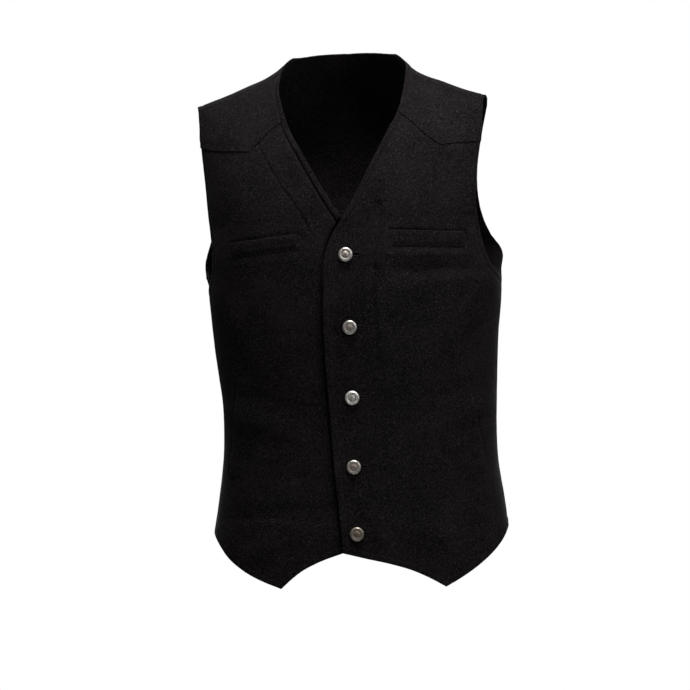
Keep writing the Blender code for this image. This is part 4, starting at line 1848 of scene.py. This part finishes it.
LIGHTS = (
    Softbox("top_light", (0.15, -0.45, 1.2), (0.0, -0.1, 0.0), 0.6, 10.4, 60.0),
    Softbox("side_light", (1.3, -0.9, 0.3), (0.0, 0.0, -0.3), 0.5, 2.6, 60.0),
    Softbox("back_light", (-0.3, 1.5, 1.1), (0.0, 0.1, -0.25), 0.6, 8.0, 60.0),
    Softbox("left_light", (-1.5, -0.9, 0.6), (0.0, 0.0, -0.3), 0.22, 0.75, 60.0),
)


@dataclass
class Studio:
    """A white room: pale floor, bright surroundings, soft lights and the camera of the photograph."""

    camera_turn_deg: float = 3.4
    camera_roll_deg: float = 2.2
    camera_distance: float = 3.3
    camera_height: float = -0.3558
    camera_shift: float = 0.0128
    view_at_object: float = 0.8832
    sensor: float = 36.0
    floor_height: float = -1.4
    floor_radius: float = 1.9
    floor_sides: int = 96
    white: Colour = (1.0, 1.0, 1.0)
    dim: float = 0.06
    behind_span: Span = (0.60, 0.94)
    overhead: float = 0.4
    overhead_span: Span = (0.3, 0.95)
    horizon: float = 0.34
    horizon_drop: float = 0.22
    horizon_span: Span = (0.48, 0.32)

    def make(self) -> None:
        """Builds everything round the vest."""
        self.camera()
        self.floor()
        self.surroundings()
        for light in LIGHTS:
            self.softbox(light)

    def camera(self) -> None:
        """Places the camera: level, a little to the wearer's left and rolled as it was held."""
        turn = math.radians(self.camera_turn_deg)
        right = Vector((math.cos(turn), math.sin(turn), 0.0))
        away = Vector((math.sin(turn), -math.cos(turn), 0.0))
        data = bpy.data.cameras.new("camera")
        data.sensor_width = self.sensor
        data.lens = self.sensor * self.camera_distance / self.view_at_object
        made = bpy.data.objects.new("camera", data)
        bpy.context.collection.objects.link(made)
        place = away * self.camera_distance - right * self.camera_shift
        made.matrix_world = (
            Matrix.Translation((place.x, place.y, self.camera_height))
            @ Matrix.Rotation(turn, 4, "Z")
            @ Matrix.Rotation(math.pi / 2, 4, "X")
            @ Matrix.Rotation(-math.radians(self.camera_roll_deg), 4, "Z")
        )
        bpy.context.scene.camera = made

    def floor(self) -> None:
        """Lays a round floor well below the hem."""
        turns = np.linspace(0, 2 * math.pi, self.floor_sides, endpoint=False)
        circle = self.floor_radius * np.stack([np.cos(turns), np.sin(turns)], 1)
        points = [(x, y, self.floor_height) for x, y in circle.tolist()]
        mesh = bpy.data.meshes.new("floor")
        mesh.from_pydata(points, [], [list(range(len(points)))])
        mesh.materials.append(PaleFloor().material())
        made = bpy.data.objects.new("floor", mesh)
        bpy.context.collection.objects.link(made)

    def surroundings(self) -> None:
        """Sets the white world, brightest behind the vest, and plain colours."""
        world = bpy.data.worlds.new("white_room")
        bpy.context.scene.world = world
        world.use_nodes = True
        world.node_tree.nodes.clear()
        kit = NodeKit(world.node_tree)
        towards = kit.add(Node.PLACE, output="Generated")
        height = kit.lean(towards, (0.0, 0.0, 1.0))
        back = kit.lean(towards, (0.0, 1.0, 0.0))
        behind = kit.ramp(back, *self.behind_span) * (1.0 - self.dim)
        above = kit.ramp(height, *self.overhead_span) * (self.overhead - self.dim)
        off_level = (height + self.horizon_drop).maths("ABSOLUTE")
        level = kit.ramp(off_level, *self.horizon_span) * (self.horizon - self.dim)
        share = behind.maths("MAXIMUM", above).maths("MAXIMUM", level)
        glow = kit.add(Node.BACKGROUND, sockets={"Color": self.white, "Strength": share + self.dim})
        kit.add(Node.WORLD_OUTPUT, sockets={"Surface": glow})
        bpy.context.scene.view_settings.view_transform = "Standard"

    def softbox(self, light: Softbox) -> None:
        """Hangs a square soft light and turns it to the vest.

        Args:
            light: The light's row of the table.
        """
        data = bpy.data.lights.new(light.name, "AREA")
        data.size = light.size
        data.energy = light.watts
        data.spread = math.radians(light.spread_deg)
        made = bpy.data.objects.new(light.name, data)
        bpy.context.collection.objects.link(made)
        made.location = light.place
        made.rotation_mode = "QUATERNION"
        made.rotation_quaternion = (Vector(light.aim) - Vector(light.place)).to_track_quat("-Z", "Y")


@dataclass
class Vest:
    """The whole vest, panel by panel; the steps are the sizes of the panels' cells."""

    body: BodySurface = field(default_factory=BodySurface)
    front_step: float = 2.2
    back_step: float = 3.6
    welt_step: float = 2.0
    back_relax_rounds: int = 600

    def make(self) -> list[bpy.types.Object]:
        """Builds every piece in the order in which they lie on each other.

        Returns:
            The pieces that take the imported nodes' places.
        """
        wool, thread = MeltonWool().material(), SewingThread().material()
        pattern = Pattern(self.body)
        common = {"body": self.body, "wool": wool, "thread": thread}
        fronts = {
            Side.RIGHT: FrontPanel(
                name="front_right", outline=pattern.front(RIGHT), cut=FRONT_RIGHT_CUT, side=Side.RIGHT,
                step=self.front_step, **common,
            ),
            Side.LEFT: OverlapPanel(
                name="front_left", outline=pattern.front(LEFT), cut=FRONT_LEFT_CUT, side=Side.LEFT,
                step=self.front_step, **common,
            ),
        }
        yokes = [
            YokePanel(
                name=f"yoke_{cut.side.name.lower()}", outline=pattern.yoke(cut), cut=YOKE_CUT,
                step=self.front_step, inset=YOKE_INSET, rests_on=(fronts[cut.side].name,), **common,
            )
            for cut in (LEFT, RIGHT)
        ]
        back = ClothPanel(
            name="back", outline=pattern.back(), cut=BACK_CUT, step=self.back_step,
            relax_rounds=self.back_relax_rounds, **common,
        )
        made = [panel.make() for panel in (*fronts.values(), *yokes, back)]
        made += [self.welt(row, fronts[row.side], common).make() for row in WELTS]
        return made + ButtonSet(self.body).make()

    def welt(self, row: WeltRow, front: FrontPanel, common: dict[str, Any]) -> Welt:
        """A welt on the face of its front.

        Args:
            row: The welt's row of the table.
            front: The front that it lies on.
            common: What all panels are given.

        Returns:
            The welt's panel.
        """
        low_in, low_out, high_out, high_in = row.corners

        def edge(*points: tuple[float, float]) -> tuple[Edge, ...]:
            """A straight edge between two corners."""
            line = np.linspace(*points, WELT_SAMPLES) * (row.side.value, 1)
            return (Edge(self.body.coordinates(line), EdgeKind.SEWN),)

        outline = Outline(
            bottom=edge(low_in, low_out),
            top=edge(high_in, high_out),
            first=edge(low_in, high_in),
            last=edge(low_out, high_out),
        )
        return Welt(
            name=row.name, outline=outline, cut=row.cut, step=self.welt_step, thickness=row.thickness,
            front=front, rests_on=(front.name,), corners=(high_in, low_in, low_out, high_out),
            mouth=(high_in, high_out), **common,
        )


def main() -> None:
    """Builds the vest and its studio, and reports the pieces."""
    logging.basicConfig(level=logging.INFO, format="%(message)s")
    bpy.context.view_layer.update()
    for piece in Vest().make():
        log.info("%s is in place", piece.name)
    Studio().make()


if __name__ == "__main__":
    main()
